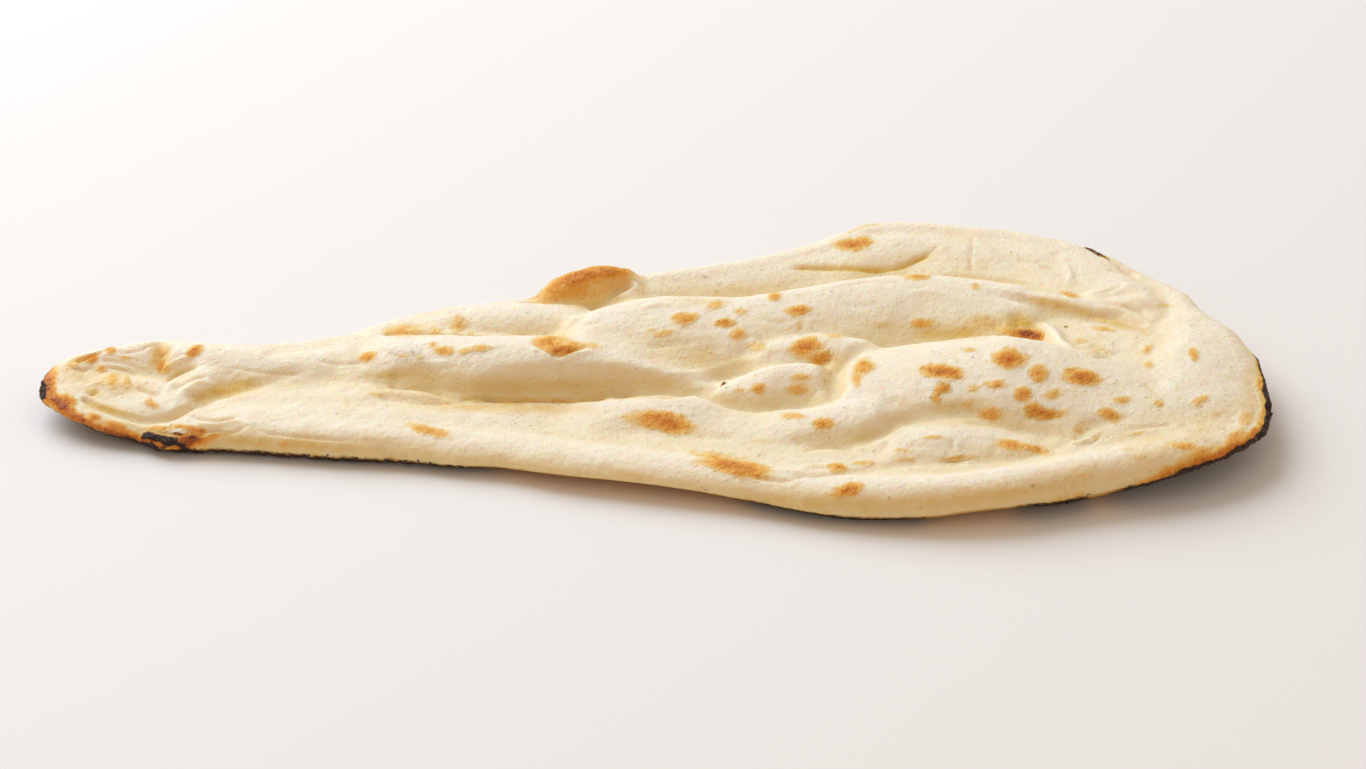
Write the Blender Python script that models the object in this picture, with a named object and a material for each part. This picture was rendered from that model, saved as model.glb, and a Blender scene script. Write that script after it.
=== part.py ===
"""A leaf-shaped naan, one solid of baked dough: a long tail, a broad blistered end and a thick rolled rim.

The frame has +X along the length, from the tail's tip to the broad end, +Y across and +Z up. The origin is at
the middle of the footprint, on the surface that the bread lies on. Every size is in metres.
"""

import bmesh
import bpy
import numpy as np

# Overall sizes
TAIL_TIP_X = -0.2048
BROAD_END_X = 0.2050
LENGTH = BROAD_END_X - TAIL_TIP_X
SIDE_SHIFT = 0.0012  # brings the middle of the footprint to y = 0
SHEET_THICKNESS = 0.0055
RIM_ROUND = 0.0075  # how far in from the outline the rounded edge reaches
EDGE_SHARE = 0.42  # height of the outline itself, as a share of the rim's thickness
LIFT_REACH = 0.038  # how far in from the outline the underside stays off the surface
RIM_CREST = 0.0085  # distance of the rim's crest from the outline
RIM_FALL = 0.011  # how far in from its crest the rim falls back to the sheet

# Outline: (x, y) along the edge towards -Y and along the edge towards +Y, from the tail to the broad end
NEAR_EDGE = (
    (-0.2048, -0.0185), (-0.2035, -0.0265), (-0.198, -0.0325), (-0.190, -0.0378), (-0.179, -0.042),
    (-0.169, -0.0445), (-0.161, -0.0485), (-0.148, -0.0490), (-0.1285, -0.051), (-0.1015, -0.055),
    (-0.082, -0.057), (-0.062, -0.061), (-0.048, -0.0635), (-0.029, -0.070), (-0.009, -0.0745),
    (0.010, -0.079), (0.0285, -0.0835), (0.042, -0.0878), (0.061, -0.0930), (0.080, -0.0950),
    (0.093, -0.0954), (0.112, -0.0932), (0.1285, -0.0888), (0.1455, -0.0840), (0.162, -0.0798),
    (0.178, -0.073), (0.192, -0.0632), (0.2000, -0.0525), (0.2040, -0.038), (0.2050, -0.022),
)
FAR_EDGE = (
    (-0.2048, -0.0185), (-0.2040, -0.0110), (-0.2010, -0.0050), (-0.1945, -0.0005), (-0.181, 0.0045),
    (-0.168, 0.0085), (-0.155, 0.0095), (-0.141, 0.0090), (-0.1275, 0.0105), (-0.1075, 0.016),
    (-0.0875, 0.025), (-0.074, 0.0295), (-0.060, 0.033), (-0.0465, 0.037), (-0.024, 0.045),
    (-0.006, 0.050), (0.0165, 0.058), (0.038, 0.0675), (0.0526, 0.076), (0.0674, 0.0845),
    (0.0786, 0.0905), (0.1043, 0.0930), (0.126, 0.0910), (0.1474, 0.0855), (0.1641, 0.0745),
    (0.1730, 0.0645), (0.1800, 0.0565), (0.1855, 0.0500), (0.1888, 0.0410), (0.1902, 0.0325),
    (0.1924, 0.0245), (0.1965, 0.0168), (0.2009, 0.0085), (0.2041, -0.006), (0.2050, -0.022),
)

# Along each edge: (x, how far the underside is lifted there, height of the rim's crest)
NEAR_RIM = (
    (-0.2048, 0.0080, 0.0118), (-0.190, 0.0055, 0.0105), (-0.175, 0.0020, 0.0092), (-0.162, 0.0, 0.0085),
    (-0.143, 0.0, 0.0100), (-0.105, 0.0, 0.0110), (-0.070, 0.0005, 0.0100), (-0.048, 0.0020, 0.0104),
    (-0.029, 0.0032, 0.0112), (0.003, 0.0036, 0.0116), (0.028, 0.0020, 0.0116), (0.045, 0.0008, 0.0120),
    (0.066, 0.0, 0.0136), (0.085, 0.0012, 0.0148), (0.104, 0.0035, 0.0160), (0.118, 0.0038, 0.0165),
    (0.1285, 0.0025, 0.0165), (0.1455, 0.0035, 0.0172), (0.165, 0.0065, 0.0180), (0.183, 0.0090, 0.0170),
    (0.198, 0.0100, 0.0152), (0.2050, 0.0100, 0.0145),
)
FAR_RIM = (
    (-0.2048, 0.0080, 0.0118), (-0.198, 0.0070, 0.0138), (-0.186, 0.0050, 0.0148), (-0.165, 0.0020, 0.0150),
    (-0.153, 0.0010, 0.0134), (-0.141, 0.0010, 0.0128), (-0.107, 0.0010, 0.0128), (-0.087, 0.0010, 0.0145),
    (-0.060, 0.0010, 0.0157), (-0.030, 0.0020, 0.0165), (0.000, 0.0020, 0.0182), (0.022, 0.0020, 0.0174),
    (0.052, 0.0020, 0.0163), (0.078, 0.0030, 0.0184), (0.104, 0.0030, 0.0163), (0.126, 0.0020, 0.0146),
    (0.147, 0.0020, 0.0137), (0.164, 0.0025, 0.0122), (0.180, 0.0040, 0.0118), (0.197, 0.0085, 0.0130),
    (0.2050, 0.0100, 0.0145),
)

# Height of the sheet between the folds, along the length
SHEET_TOP = (
    (-0.2048, 0.0110), (-0.180, 0.0095), (-0.160, 0.0088), (-0.120, 0.0095), (-0.080, 0.0090),
    (-0.040, 0.0085), (0.010, 0.0090), (0.060, 0.0100), (0.110, 0.0120), (0.145, 0.0140),
    (0.165, 0.0152), (0.180, 0.0160), (0.190, 0.0158), (0.2050, 0.0150),
)

# Folds that stand up: name, foot height, reach to the right of the crest's course, to its left and past
# its ends, roundness, and the crest's points (x, y, height). Roundness 1 is a full roll with a crease at
# its foot, less is a puffed bubble and more is a soft swell.
FOLDS = (
    ("tail far lip", 0.010, 0.010, 0.010, 0.006, 1.2,
     ((-0.198, -0.008, 0.0130), (-0.190, -0.005, 0.0142), (-0.180, -0.002, 0.0150), (-0.171, 0.000, 0.0152))),
    ("tail far lobe", 0.009, 0.009, 0.012, 0.005, 1.0,
     ((-0.160, -0.003, 0.0158), (-0.153, -0.004, 0.0162), (-0.145, -0.005, 0.0158), (-0.133, -0.006, 0.0152))),
    ("tail pad", 0.0085, 0.010, 0.011, 0.009, 1.2,
     ((-0.193, -0.019, 0.0112), (-0.182, -0.021, 0.0130), (-0.172, -0.023, 0.0134), (-0.163, -0.026, 0.0126))),
    ("tail lower lobe", 0.0080, 0.006, 0.008, 0.006, 1.0,
     ((-0.172, -0.031, 0.0115), (-0.163, -0.033, 0.0120), (-0.159, -0.034, 0.0116))),
    ("twist", 0.0080, 0.010, 0.010, 0.005, 1.3,
     ((-0.1490, -0.0150, 0.0140), (-0.1535, -0.0225, 0.0130), (-0.1575, -0.0290, 0.0118),
      (-0.1595, -0.0345, 0.0106))),
    ("neck roll", 0.0085, 0.013, 0.014, 0.008, 1.4,
     ((-0.150, -0.008, 0.0148), (-0.138, -0.008, 0.0152), (-0.122, -0.008, 0.0145), (-0.104, -0.003, 0.0140))),
    ("front band", 0.0088, 0.007, 0.007, 0.008, 1.5,
     ((-0.142, -0.027, 0.0100), (-0.117, -0.027, 0.0105), (-0.096, -0.027, 0.0106))),
    ("second front band", 0.0085, 0.008, 0.007, 0.010, 1.5,
     ((-0.132, -0.037, 0.0104), (-0.103, -0.037, 0.0107), (-0.076, -0.038, 0.0103), (-0.050, -0.038, 0.0100))),
    ("shelf", 0.0083, 0.006, 0.006, 0.009, 1.2,
     ((-0.100, -0.0212, 0.0098), (-0.088, -0.0232, 0.0106), (-0.078, -0.0260, 0.0106),
      (-0.070, -0.0285, 0.0096))),
    ("long roll", 0.0078, 0.0148, 0.022, 0.010, 0.66,
     ((-0.100, -0.0030, 0.0132), (-0.088, -0.0030, 0.0170), (-0.073, -0.0065, 0.0194), (-0.052, -0.0110, 0.0214),
      (-0.036, -0.0125, 0.0216), (-0.016, -0.0125, 0.0204), (0.001, -0.0138, 0.0174), (0.014, -0.0150, 0.0142))),
    ("back roll", 0.010, 0.014, 0.016, 0.010, 1.0,
     ((-0.092, 0.016, 0.0130), (-0.076, 0.0165, 0.0165), (-0.059, 0.018, 0.0182), (-0.042, 0.0185, 0.0190),
      (-0.028, 0.017, 0.0190))),
    ("middle swell", 0.0095, 0.032, 0.018, 0.012, 1.0,
     ((-0.022, 0.006, 0.0212), (-0.010, 0.0125, 0.0225), (0.004, 0.0155, 0.0235), (0.018, 0.0150, 0.0238),
      (0.034, 0.0155, 0.0238), (0.050, 0.020, 0.0240), (0.066, 0.026, 0.0238), (0.084, 0.032, 0.0228),
      (0.104, 0.033, 0.0215), (0.124, 0.031, 0.0195))),
    ("far rim roll", 0.010, 0.020, 0.012, 0.012, 1.3,
     ((-0.010, 0.0310, 0.0188), (-0.004, 0.0385, 0.0186), (0.004, 0.0440, 0.0176), (0.016, 0.049, 0.0170),
      (0.038, 0.057, 0.0165), (0.053, 0.063, 0.0160))),
    ("middle lobe", 0.010, 0.017, 0.014, 0.014, 1.6,
     ((0.040, -0.0085, 0.0192), (0.049, -0.0055, 0.0200), (0.060, -0.0045, 0.0204), (0.070, -0.0075, 0.0202))),
    ("side bubble", 0.0088, 0.013, 0.010, 0.011, 1.1,
     ((0.019, -0.0265, 0.0118), (0.027, -0.0255, 0.0150), (0.037, -0.0235, 0.0182), (0.049, -0.022, 0.0198),
      (0.058, -0.0245, 0.0190), (0.0615, -0.029, 0.0170))),
    ("front bump", 0.0085, 0.013, 0.010, 0.010, 1.1,
     ((-0.020, -0.036, 0.0108), (-0.007, -0.0345, 0.0135), (0.006, -0.035, 0.0145), (0.016, -0.037, 0.0138),
      (0.025, -0.0395, 0.0112))),
    ("apron", 0.009, 0.013, 0.010, 0.008, 0.9,
     ((0.032, -0.042, 0.0108), (0.046, -0.0445, 0.0138), (0.060, -0.0455, 0.0168), (0.073, -0.0455, 0.0190))),
    ("main bubble", 0.012, 0.030, 0.026, 0.018, 0.74,
     ((0.0745, -0.0282, 0.0210), (0.083, -0.0265, 0.0228), (0.092, -0.0255, 0.0244), (0.104, -0.0248, 0.0264),
      (0.117, -0.0250, 0.0282), (0.130, -0.0268, 0.0262), (0.143, -0.0290, 0.0230), (0.157, -0.031, 0.0203),
      (0.168, -0.032, 0.0188))),
    ("front bubble", 0.0105, 0.012, 0.010, 0.006, 0.85,
     ((0.0800, -0.0620, 0.0138), (0.0860, -0.0592, 0.0158), (0.0965, -0.0582, 0.0170), (0.1085, -0.0598, 0.0163),
      (0.120, -0.0630, 0.0142))),
    ("far lobe", 0.0130, 0.015, 0.014, 0.012, 1.1,
     ((0.063, 0.065, 0.0158), (0.074, 0.0700, 0.0174), (0.087, 0.0735, 0.0177), (0.099, 0.0755, 0.0170),
      (0.112, 0.0745, 0.0158))),
    ("far panel", 0.010, 0.022, 0.022, 0.014, 1.6,
     ((0.103, 0.068, 0.0158), (0.120, 0.069, 0.0155), (0.138, 0.066, 0.0145), (0.155, 0.058, 0.0132))),
    ("cross ridge", 0.011, 0.007, 0.010, 0.007, 1.0,
     ((0.121, 0.031, 0.0197), (0.134, 0.029, 0.0190), (0.146, 0.0265, 0.0180), (0.158, 0.026, 0.0172),
      (0.172, 0.030, 0.0165))),
    ("right swell", 0.012, 0.014, 0.030, 0.017, 1.1,
     ((0.1865, 0.030, 0.0152), (0.1865, 0.016, 0.0174), (0.182, -0.004, 0.0193), (0.177, -0.020, 0.0197),
      (0.174, -0.036, 0.0194))),
    ("first fan fold", 0.012, 0.006, 0.006, 0.005, 1.4,
     ((0.154, 0.035, 0.0160), (0.166, 0.041, 0.0152))),
    ("torn lip", 0.013, 0.004, 0.005, 0.005, 1.2,
     ((0.1350, 0.0120, 0.0162), (0.1368, 0.0060, 0.0172), (0.1378, -0.0010, 0.0182), (0.1405, -0.0075, 0.0194))),
    ("rim blister", 0.012, 0.011, 0.010, 0.009, 0.75,
     ((-0.0325, 0.0345, 0.0222), (-0.026, 0.0355, 0.0243), (-0.017, 0.0375, 0.0248), (-0.0105, 0.0385, 0.0230))),
)

# Creases that cut down: name, half width, and the floor's points (x, y, height)
CREASES = (
    ("neck crease", 0.0055,
     ((-0.104, -0.0110, 0.0150), (-0.115, -0.0140, 0.0127), (-0.125, -0.0172, 0.0108), (-0.135, -0.0212, 0.0095),
      (-0.1435, -0.0255, 0.0087), (-0.1500, -0.0300, 0.0084))),
    ("tail foot", 0.0030,
     ((-0.148, -0.0290, 0.0086), (-0.1529, -0.0345, 0.0082), (-0.1562, -0.0385, 0.0080),
      (-0.1603, -0.0403, 0.0080), (-0.1668, -0.0403, 0.0080), (-0.1755, -0.0378, 0.0082),
      (-0.1826, -0.0345, 0.0088), (-0.188, -0.0300, 0.0096))),
    ("tail pit", 0.0040,
     ((-0.167, 0.004, 0.0135), (-0.166, -0.004, 0.0120), (-0.165, -0.0115, 0.0110))),
    ("tail crack", 0.0022,
     ((-0.193, -0.009, 0.0120), (-0.190, -0.0065, 0.0126), (-0.187, -0.005, 0.0134))),
    ("tail crease", 0.0032,
     ((-0.184, -0.008, 0.0128), (-0.177, -0.0085, 0.0122), (-0.169, -0.0105, 0.0112))),
    ("shelf crease", 0.0045,
     ((-0.088, -0.0275, 0.0092), (-0.074, -0.0300, 0.0086), (-0.062, -0.0275, 0.0082))),
    ("roll crease", 0.0046,
     ((-0.0862, -0.0176, 0.0096), (-0.0760, -0.0202, 0.0092), (-0.0692, -0.0248, 0.0088),
      (-0.0610, -0.0270, 0.0082),
      (-0.051, -0.0265, 0.0078), (-0.027, -0.0255, 0.0078),
      (-0.007, -0.0245, 0.0082), (0.008, -0.0252, 0.0094), (0.020, -0.0262, 0.0112))),
    ("back crease", 0.0040,
     ((-0.090, 0.0085, 0.0133), (-0.073, 0.0045, 0.0142), (-0.052, 0.0010, 0.0150), (-0.038, 0.0000, 0.0160),
      (-0.030, 0.0040, 0.0174), (-0.0245, 0.0095, 0.0196))),
    ("middle dimple", 0.0110,
     ((0.001, -0.014, 0.0168), (0.011, -0.014, 0.0158), (0.020, -0.012, 0.0162))),
    ("side bubble back", 0.0060,
     ((0.030, -0.0165, 0.0160), (0.040, -0.0145, 0.0172), (0.052, -0.0135, 0.0178))),
    ("side bubble foot", 0.0040,
     ((0.016, -0.027, 0.0098), (0.024, -0.033, 0.0092), (0.034, -0.036, 0.0092), (0.046, -0.0352, 0.0105),
      (0.059, -0.0370, 0.0138))),
    ("front bump foot", 0.0060,
     ((0.013, -0.051, 0.0095), (0.025, -0.053, 0.0096))),
    ("apron foot", 0.0050,
     ((0.037, -0.0570, 0.0112), (0.045, -0.0575, 0.0100), (0.055, -0.0580, 0.0094), (0.065, -0.0585, 0.0100),
      (0.074, -0.0565, 0.0114), (0.081, -0.0525, 0.0138), (0.091, -0.0510, 0.0152), (0.104, -0.0505, 0.0158),
      (0.117, -0.0535, 0.0158), (0.133, -0.0525, 0.0168))),
    ("main bubble edge", 0.0052,
     ((0.0596, -0.0346, 0.0128), (0.0604, -0.0263, 0.0140), (0.0636, -0.0174, 0.0158), (0.0695, -0.0116, 0.0178),
      (0.0765, -0.0084, 0.0202))),
    ("blister foot", 0.0035,
     ((-0.045, 0.027, 0.0150), (-0.032, 0.0255, 0.0160), (-0.018, 0.0275, 0.0170), (-0.009, 0.034, 0.0165))),
    ("far lobe crease", 0.0025,
     ((0.044, 0.0555, 0.0168), (0.056, 0.0560, 0.0160), (0.070, 0.0560, 0.0155), (0.082, 0.0565, 0.0154),
      (0.090, 0.0600, 0.0155), (0.0965, 0.0648, 0.0158), (0.102, 0.0700, 0.0162))),
    ("panel crease", 0.0026,
     ((0.088, 0.0475, 0.0200), (0.103, 0.0475, 0.0172), (0.117, 0.0457, 0.0160), (0.132, 0.0420, 0.0158))),
    ("right groove", 0.0045,
     ((0.115, 0.0285, 0.0208), (0.124, 0.0262, 0.0182), (0.136, 0.0230, 0.0156), (0.148, 0.0192, 0.0140),
      (0.159, 0.0142, 0.0140), (0.168, 0.0090, 0.0152))),
    ("swell crease", 0.0065,
     ((0.1775, 0.0400, 0.0150), (0.1792, 0.0300, 0.0150), (0.1770, 0.0210, 0.0152), (0.1730, 0.0140, 0.0154),
      (0.1700, 0.0060, 0.0164), (0.1640, -0.0035, 0.0180))),
    ("fan crease", 0.0022,
     ((0.1625, 0.0560, 0.0136), (0.1700, 0.0510, 0.0132), (0.1775, 0.0470, 0.0130))),
    ("torn dent", 0.0060,
     ((0.106, 0.0085, 0.0178), (0.112, 0.0100, 0.0160), (0.118, 0.0105, 0.0150))),
    ("torn pocket", 0.0072,
     ((0.1255, 0.0140, 0.0150), (0.1270, 0.0100, 0.0126), (0.1288, 0.0058, 0.0110), (0.1300, 0.0025, 0.0112))),
    ("rim crease", 0.0050,
     ((0.036, -0.0750, 0.0132), (0.044, -0.0785, 0.0120), (0.052, -0.0788, 0.0106), (0.060, -0.0765, 0.0098),
      (0.070, -0.0735, 0.0096), (0.084, -0.0718, 0.0108), (0.099, -0.0718, 0.0118), (0.119, -0.0705, 0.0122),
      (0.130, -0.0655, 0.0130), (0.139, -0.058, 0.0138), (0.147, -0.0545, 0.0155), (0.156, -0.052, 0.0172))),
)

FOLD_BLEND = 0.0030  # how far two folds run into each other
FOLD_OUTER_FALL = 1.5  # how steeply a fold's surface goes on falling outside its foot
CREASE_RISE = 0.006  # a crease's walls rise this much in its half width
CREASE_BLEND = 0.0015
SMOOTH_STEPS = 8  # samples between two points of a crest, crease or edge
ALONG = 240  # columns of the grid along the length
ACROSS_TOP = 96
ACROSS_UNDER = 30
FEWER_TRIANGLES = 0.16  # share of the grid's triangles that the finished solid keeps
CRUST_COLOUR = (0.78, 0.60, 0.36, 1.0)
CRUST_ROUGHNESS = 0.6


def smooth_line(points):
    """Samples of the Catmull-Rom curve through the points, with the same easing for each coordinate."""
    knots = np.array(points, float)
    knots = np.vstack([2 * knots[0] - knots[1], knots, 2 * knots[-1] - knots[-2]])
    step = np.linspace(0, 1, SMOOTH_STEPS, endpoint=False)[:, None]
    pieces = []
    for before, start, end, after in zip(knots, knots[1:], knots[2:], knots[3:]):
        slope = (end - before) / 2
        bend = before - 2.5 * start + 2 * end - after / 2
        twist = (after - before) / 2 + 1.5 * (start - end)
        pieces.append(start + slope * step + bend * step**2 + twist * step**3)
    return np.vstack(pieces + [knots[-2:-1]])


def share_at(x):
    """Where x lies between the two tips, from 0 to 1, spread so that the round ends get more columns."""
    return np.arccos(np.clip(1 - 2 * (x - TAIL_TIP_X) / LENGTH, -1, 1)) / np.pi


def x_at(share):
    return TAIL_TIP_X + LENGTH * (1 - np.cos(np.pi * share)) / 2


def edge_curve(points):
    """A function that gives an edge's y for a share of the length."""
    line = smooth_line([(share_at(x) * LENGTH, y) for x, y in points])
    return lambda share: np.interp(share * LENGTH, line[:, 0], line[:, 1])


def value_along(points, column):
    """A function that gives a smoothly eased value for x from rows of (x, values)."""
    line = smooth_line([(row[0], row[column]) for row in points])
    return lambda x: np.interp(x, line[:, 0], line[:, 1])


def nearest_on(line, x, y):
    """For each point, the distance to a line, which side it is on (-1 to 1) and the line's height there."""
    best = np.full(x.shape, np.inf)
    side = np.zeros(x.shape)
    height = np.zeros(x.shape)
    for start, end in zip(line, line[1:]):
        run = end[:2] - start[:2]
        length = np.hypot(*run)
        if length == 0:
            continue
        share = ((x - start[0]) * run[0] + (y - start[1]) * run[1]) / length**2
        share = np.clip(share, 0, 1)
        off_x = x - start[0] - share * run[0]
        off_y = y - start[1] - share * run[1]
        distance = np.hypot(off_x, off_y)
        closer = distance < best
        turn = (run[0] * off_y - run[1] * off_x) / (length * np.maximum(distance, 1e-9))
        best = np.where(closer, distance, best)
        side = np.where(closer, turn, side)
        height = np.where(closer, start[2] + share * (end[2] - start[2]), height)
    return best, side, height


def smooth_max(first, second, blend):
    overlap = np.maximum(blend - np.abs(first - second), 0) / blend
    return np.maximum(first, second) + overlap**2 * blend / 4


def smooth_min(first, second, blend):
    return -smooth_max(-first, -second, blend)


def eased(value):
    """0 to 1 with level ends."""
    value = np.clip(value, 0, 1)
    return value * value * (3 - 2 * value)


def fold_height(x, y, fold):
    """Height of one fold's surface, which goes on falling outside its foot."""
    _, foot, right_reach, left_reach, end_reach, roundness, crest = fold
    distance, side, height = nearest_on(smooth_line(crest), x, y)
    width = end_reach + (np.where(side > 0, left_reach, right_reach) - end_reach) * side**2
    reach = distance / width
    inside = np.maximum(1 - reach**2, 0) ** roundness
    outside = np.maximum(reach - 1, 0) * FOLD_OUTER_FALL
    return foot + (height - foot) * (inside - outside)


def crease_height(x, y, crease):
    """Height of one crease's floor and walls."""
    _, half_width, floor = crease
    distance, _, height = nearest_on(smooth_line(floor), x, y)
    return height + CREASE_RISE * (distance / half_width) ** 2


def outline_distance(x, y, near_edge, far_edge, columns):
    """Distance of each point to the outline, which is sampled at each column and between them."""
    share = np.linspace(0, 1, 2 * columns + 1)
    run = x_at(share)
    near = np.column_stack([run, near_edge(share), run * 0])
    far = np.column_stack([run, far_edge(share), run * 0])
    return np.minimum(nearest_on(near, x, y)[0], nearest_on(far, x, y)[0])


def surface(along, across, columns):
    """x, y, the top's height and the underside's height on a grid of shares along and across."""
    near_edge = edge_curve(NEAR_EDGE)
    far_edge = edge_curve(FAR_EDGE)
    x = x_at(along)
    near_y = near_edge(along)
    far_y = far_edge(along)
    y = near_y + (far_y - near_y) * across
    inset = outline_distance(x, y, near_edge, far_edge, columns)
    inset = np.where((across == 0) | (across == 1), 0, inset)
    lift = value_along(NEAR_RIM, 1)(x) * (1 - across) + value_along(FAR_RIM, 1)(x) * across
    crest = value_along(NEAR_RIM, 2)(x) * (1 - across) + value_along(FAR_RIM, 2)(x) * across
    under = np.maximum(lift, 0) * (1 - eased(inset / LIFT_REACH))
    sheet = value_along(SHEET_TOP, 1)(x)
    top = smooth_max(sheet, under + SHEET_THICKNESS, FOLD_BLEND)
    top = top + (crest - top) * (1 - eased((inset - RIM_CREST) / RIM_FALL))
    for fold in FOLDS:
        top = smooth_max(top, fold_height(x, y, fold), FOLD_BLEND)
    for crease in CREASES:
        top = smooth_min(top, crease_height(x, y, crease), CREASE_BLEND)
    top = smooth_max(top, under + SHEET_THICKNESS / 2, FOLD_BLEND / 2)
    turn = np.clip(inset / RIM_ROUND, 0, 1)
    rounding = np.sqrt(1 - (1 - turn) ** 2)
    middle = under + EDGE_SHARE * (top - under)
    return x, y + SIDE_SHIFT, middle + (top - middle) * rounding, middle + (under - middle) * rounding


def spread(count):
    """Shares from 0 to 1 that crowd towards both ends."""
    return (1 - np.cos(np.pi * np.linspace(0, 1, count + 1))) / 2


def bread_mesh(columns, top_rows, under_rows):
    """A closed mesh: a grid for the top and one for the underside, which share the outline and both tips."""
    along = np.linspace(0, 1, columns + 1)[1:-1]
    mesh = bmesh.new()
    tips = []
    for share in (0.0, 1.0):
        x, y, top, _ = surface(np.array([[share]]), np.array([[0.5]]), columns)
        tips.append(mesh.verts.new((x[0, 0], y[0, 0], top[0, 0])))
    grids = []
    for rows, is_top in ((top_rows, True), (under_rows, False)):
        across = spread(rows)
        x, y, top, under = surface(*np.meshgrid(along, across, indexing="ij"), columns)
        height = top if is_top else under
        grid = [[None] * (rows + 1) for _ in along]
        for i in range(len(along)):
            for j in range(rows + 1):
                if not is_top and j in (0, rows):
                    grid[i][j] = grids[0][i][0 if j == 0 else -1]
                else:
                    grid[i][j] = mesh.verts.new((x[i, j], y[i, j], height[i, j]))
        grids.append(grid)
    for grid, is_top in zip(grids, (True, False)):
        for i in range(len(along) - 1):
            for j in range(len(grid[0]) - 1):
                corners = (grid[i][j], grid[i + 1][j], grid[i + 1][j + 1], grid[i][j + 1])
                mesh.faces.new(corners if is_top else corners[::-1])
        for j in range(len(grid[0]) - 1):
            first = (tips[0], grid[0][j], grid[0][j + 1])
            last = (tips[1], grid[-1][j + 1], grid[-1][j])
            mesh.faces.new(first if is_top else first[::-1])
            mesh.faces.new(last if is_top else last[::-1])
    return mesh


def crust_material():
    material = bpy.data.materials.new("crust")
    material.use_nodes = True
    shader = material.node_tree.nodes["Principled BSDF"]
    shader.inputs["Base Color"].default_value = CRUST_COLOUR
    shader.inputs["Roughness"].default_value = CRUST_ROUGHNESS
    shader.inputs["Metallic"].default_value = 0.0
    return material


def make_naan():
    """The whole bread, with its grid thinned where the surface is nearly flat."""
    data = bpy.data.meshes.new("naan")
    mesh = bread_mesh(ALONG, ACROSS_TOP, ACROSS_UNDER)
    bmesh.ops.triangulate(mesh, faces=mesh.faces)
    mesh.to_mesh(data)
    mesh.free()
    data.shade_smooth()
    naan = bpy.data.objects.new("naan", data)
    naan.data.materials.append(crust_material())
    bpy.context.scene.collection.objects.link(naan)
    thin = naan.modifiers.new("fewer triangles", "DECIMATE")
    thin.ratio = FEWER_TRIANGLES
    return naan


def main():
    for old in list(bpy.data.objects):
        bpy.data.objects.remove(old)
    make_naan()


if __name__ == "__main__":
    main()
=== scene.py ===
"""A leaf-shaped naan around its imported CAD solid: blistered crust, scorched spots, char and loose skin.

The form comes from the same crest and crease lines as the CAD solid, in metres, with the fine relief added.
Spots and wrinkles are placed by pixels of the photograph and carried onto the crust by the camera's rays.
"""

import math

import bpy
import numpy as np
from bpy.props import FloatProperty, FloatVectorProperty, IntProperty, PointerProperty
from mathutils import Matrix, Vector, noise
from mathutils.bvhtree import BVHTree


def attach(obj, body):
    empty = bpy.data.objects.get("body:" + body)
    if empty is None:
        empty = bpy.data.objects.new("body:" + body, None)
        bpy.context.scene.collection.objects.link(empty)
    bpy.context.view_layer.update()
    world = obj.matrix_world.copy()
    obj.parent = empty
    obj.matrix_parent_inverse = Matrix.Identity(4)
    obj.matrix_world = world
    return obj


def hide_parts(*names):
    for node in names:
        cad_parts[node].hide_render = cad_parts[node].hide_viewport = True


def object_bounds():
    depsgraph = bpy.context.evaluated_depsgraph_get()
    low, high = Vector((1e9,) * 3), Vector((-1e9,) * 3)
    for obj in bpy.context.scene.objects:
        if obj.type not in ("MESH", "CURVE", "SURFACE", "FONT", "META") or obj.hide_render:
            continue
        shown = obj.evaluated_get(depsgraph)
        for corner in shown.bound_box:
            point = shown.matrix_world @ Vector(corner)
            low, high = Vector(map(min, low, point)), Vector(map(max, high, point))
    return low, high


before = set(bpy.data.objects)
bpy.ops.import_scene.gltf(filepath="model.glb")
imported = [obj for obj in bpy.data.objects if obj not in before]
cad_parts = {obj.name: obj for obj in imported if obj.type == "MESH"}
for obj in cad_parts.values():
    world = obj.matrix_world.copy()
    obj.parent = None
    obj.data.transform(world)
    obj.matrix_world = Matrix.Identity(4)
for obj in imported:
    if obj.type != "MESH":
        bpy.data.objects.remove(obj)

bl_info = {
    "name": "Naan",
    "version": (1, 0, 0),
    "blender": (4, 5, 0),
    "location": "3D View > Sidebar > Naan",
    "description": "Makes a blistered naan around its CAD solid",
    "category": "Add Mesh",
}

CAD_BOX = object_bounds()

# The photograph and its camera
PHOTO_WIDTH = 1366
PHOTO_HEIGHT = 769
SENSOR_WIDTH = 36.0  # in millimetres, as is the lens
LENS = 85.0
FOCAL_PIXELS = LENS / SENSOR_WIDTH * PHOTO_WIDTH
CAMERA_TARGET = Vector((0.0105, 0.0002, 0.0))
CAMERA_DISTANCE = 1.102
CAMERA_ELEVATION = math.radians(30)

# Overall sizes
TAIL_TIP_X = -0.2048
BROAD_END_X = 0.2050
LENGTH = BROAD_END_X - TAIL_TIP_X
SIDE_SHIFT = 0.0012  # brings the middle of the footprint to y = 0
RIM_CREST = 0.0085  # distance of the rim's crest from the outline
RIM_FALL = 0.011  # how far in from its crest the rim falls back to the sheet
LIFT_REACH = 0.038  # how far in from the outline the underside stays off the surface
MIDDLE_HEIGHT = 0.010  # where a ray that misses the crust is taken to pass it
EDGE_SHARE = 0.42  # height of the outline itself, as a share of the rim's thickness
FOLD_BLEND = 0.0030  # how far two folds run into each other
FOLD_OUTER_FALL = 1.5  # how steeply a fold's surface goes on falling outside its foot
CREASE_RISE = 0.006  # a crease's walls rise this much in its half width
CREASE_BLEND = 0.0015
SMOOTH_STEPS = 8  # samples between two points of a crest, crease or edge
FOLD_MARGIN = 3  # a fold or crease is worked out up to this many of its reaches away
SEARCH_ROWS = 24  # rows of the grid that are measured to the outline at a time
SEED_STEPS = (7.3, 3.1, 5.7)  # how far each seed moves the noise along x, y and z
LENGTH_CROWDING = 0.5  # how far the grid's columns crowd towards the tips
WIDTH_CROWDING = 0.6  # how far its rows crowd towards the edges

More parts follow.
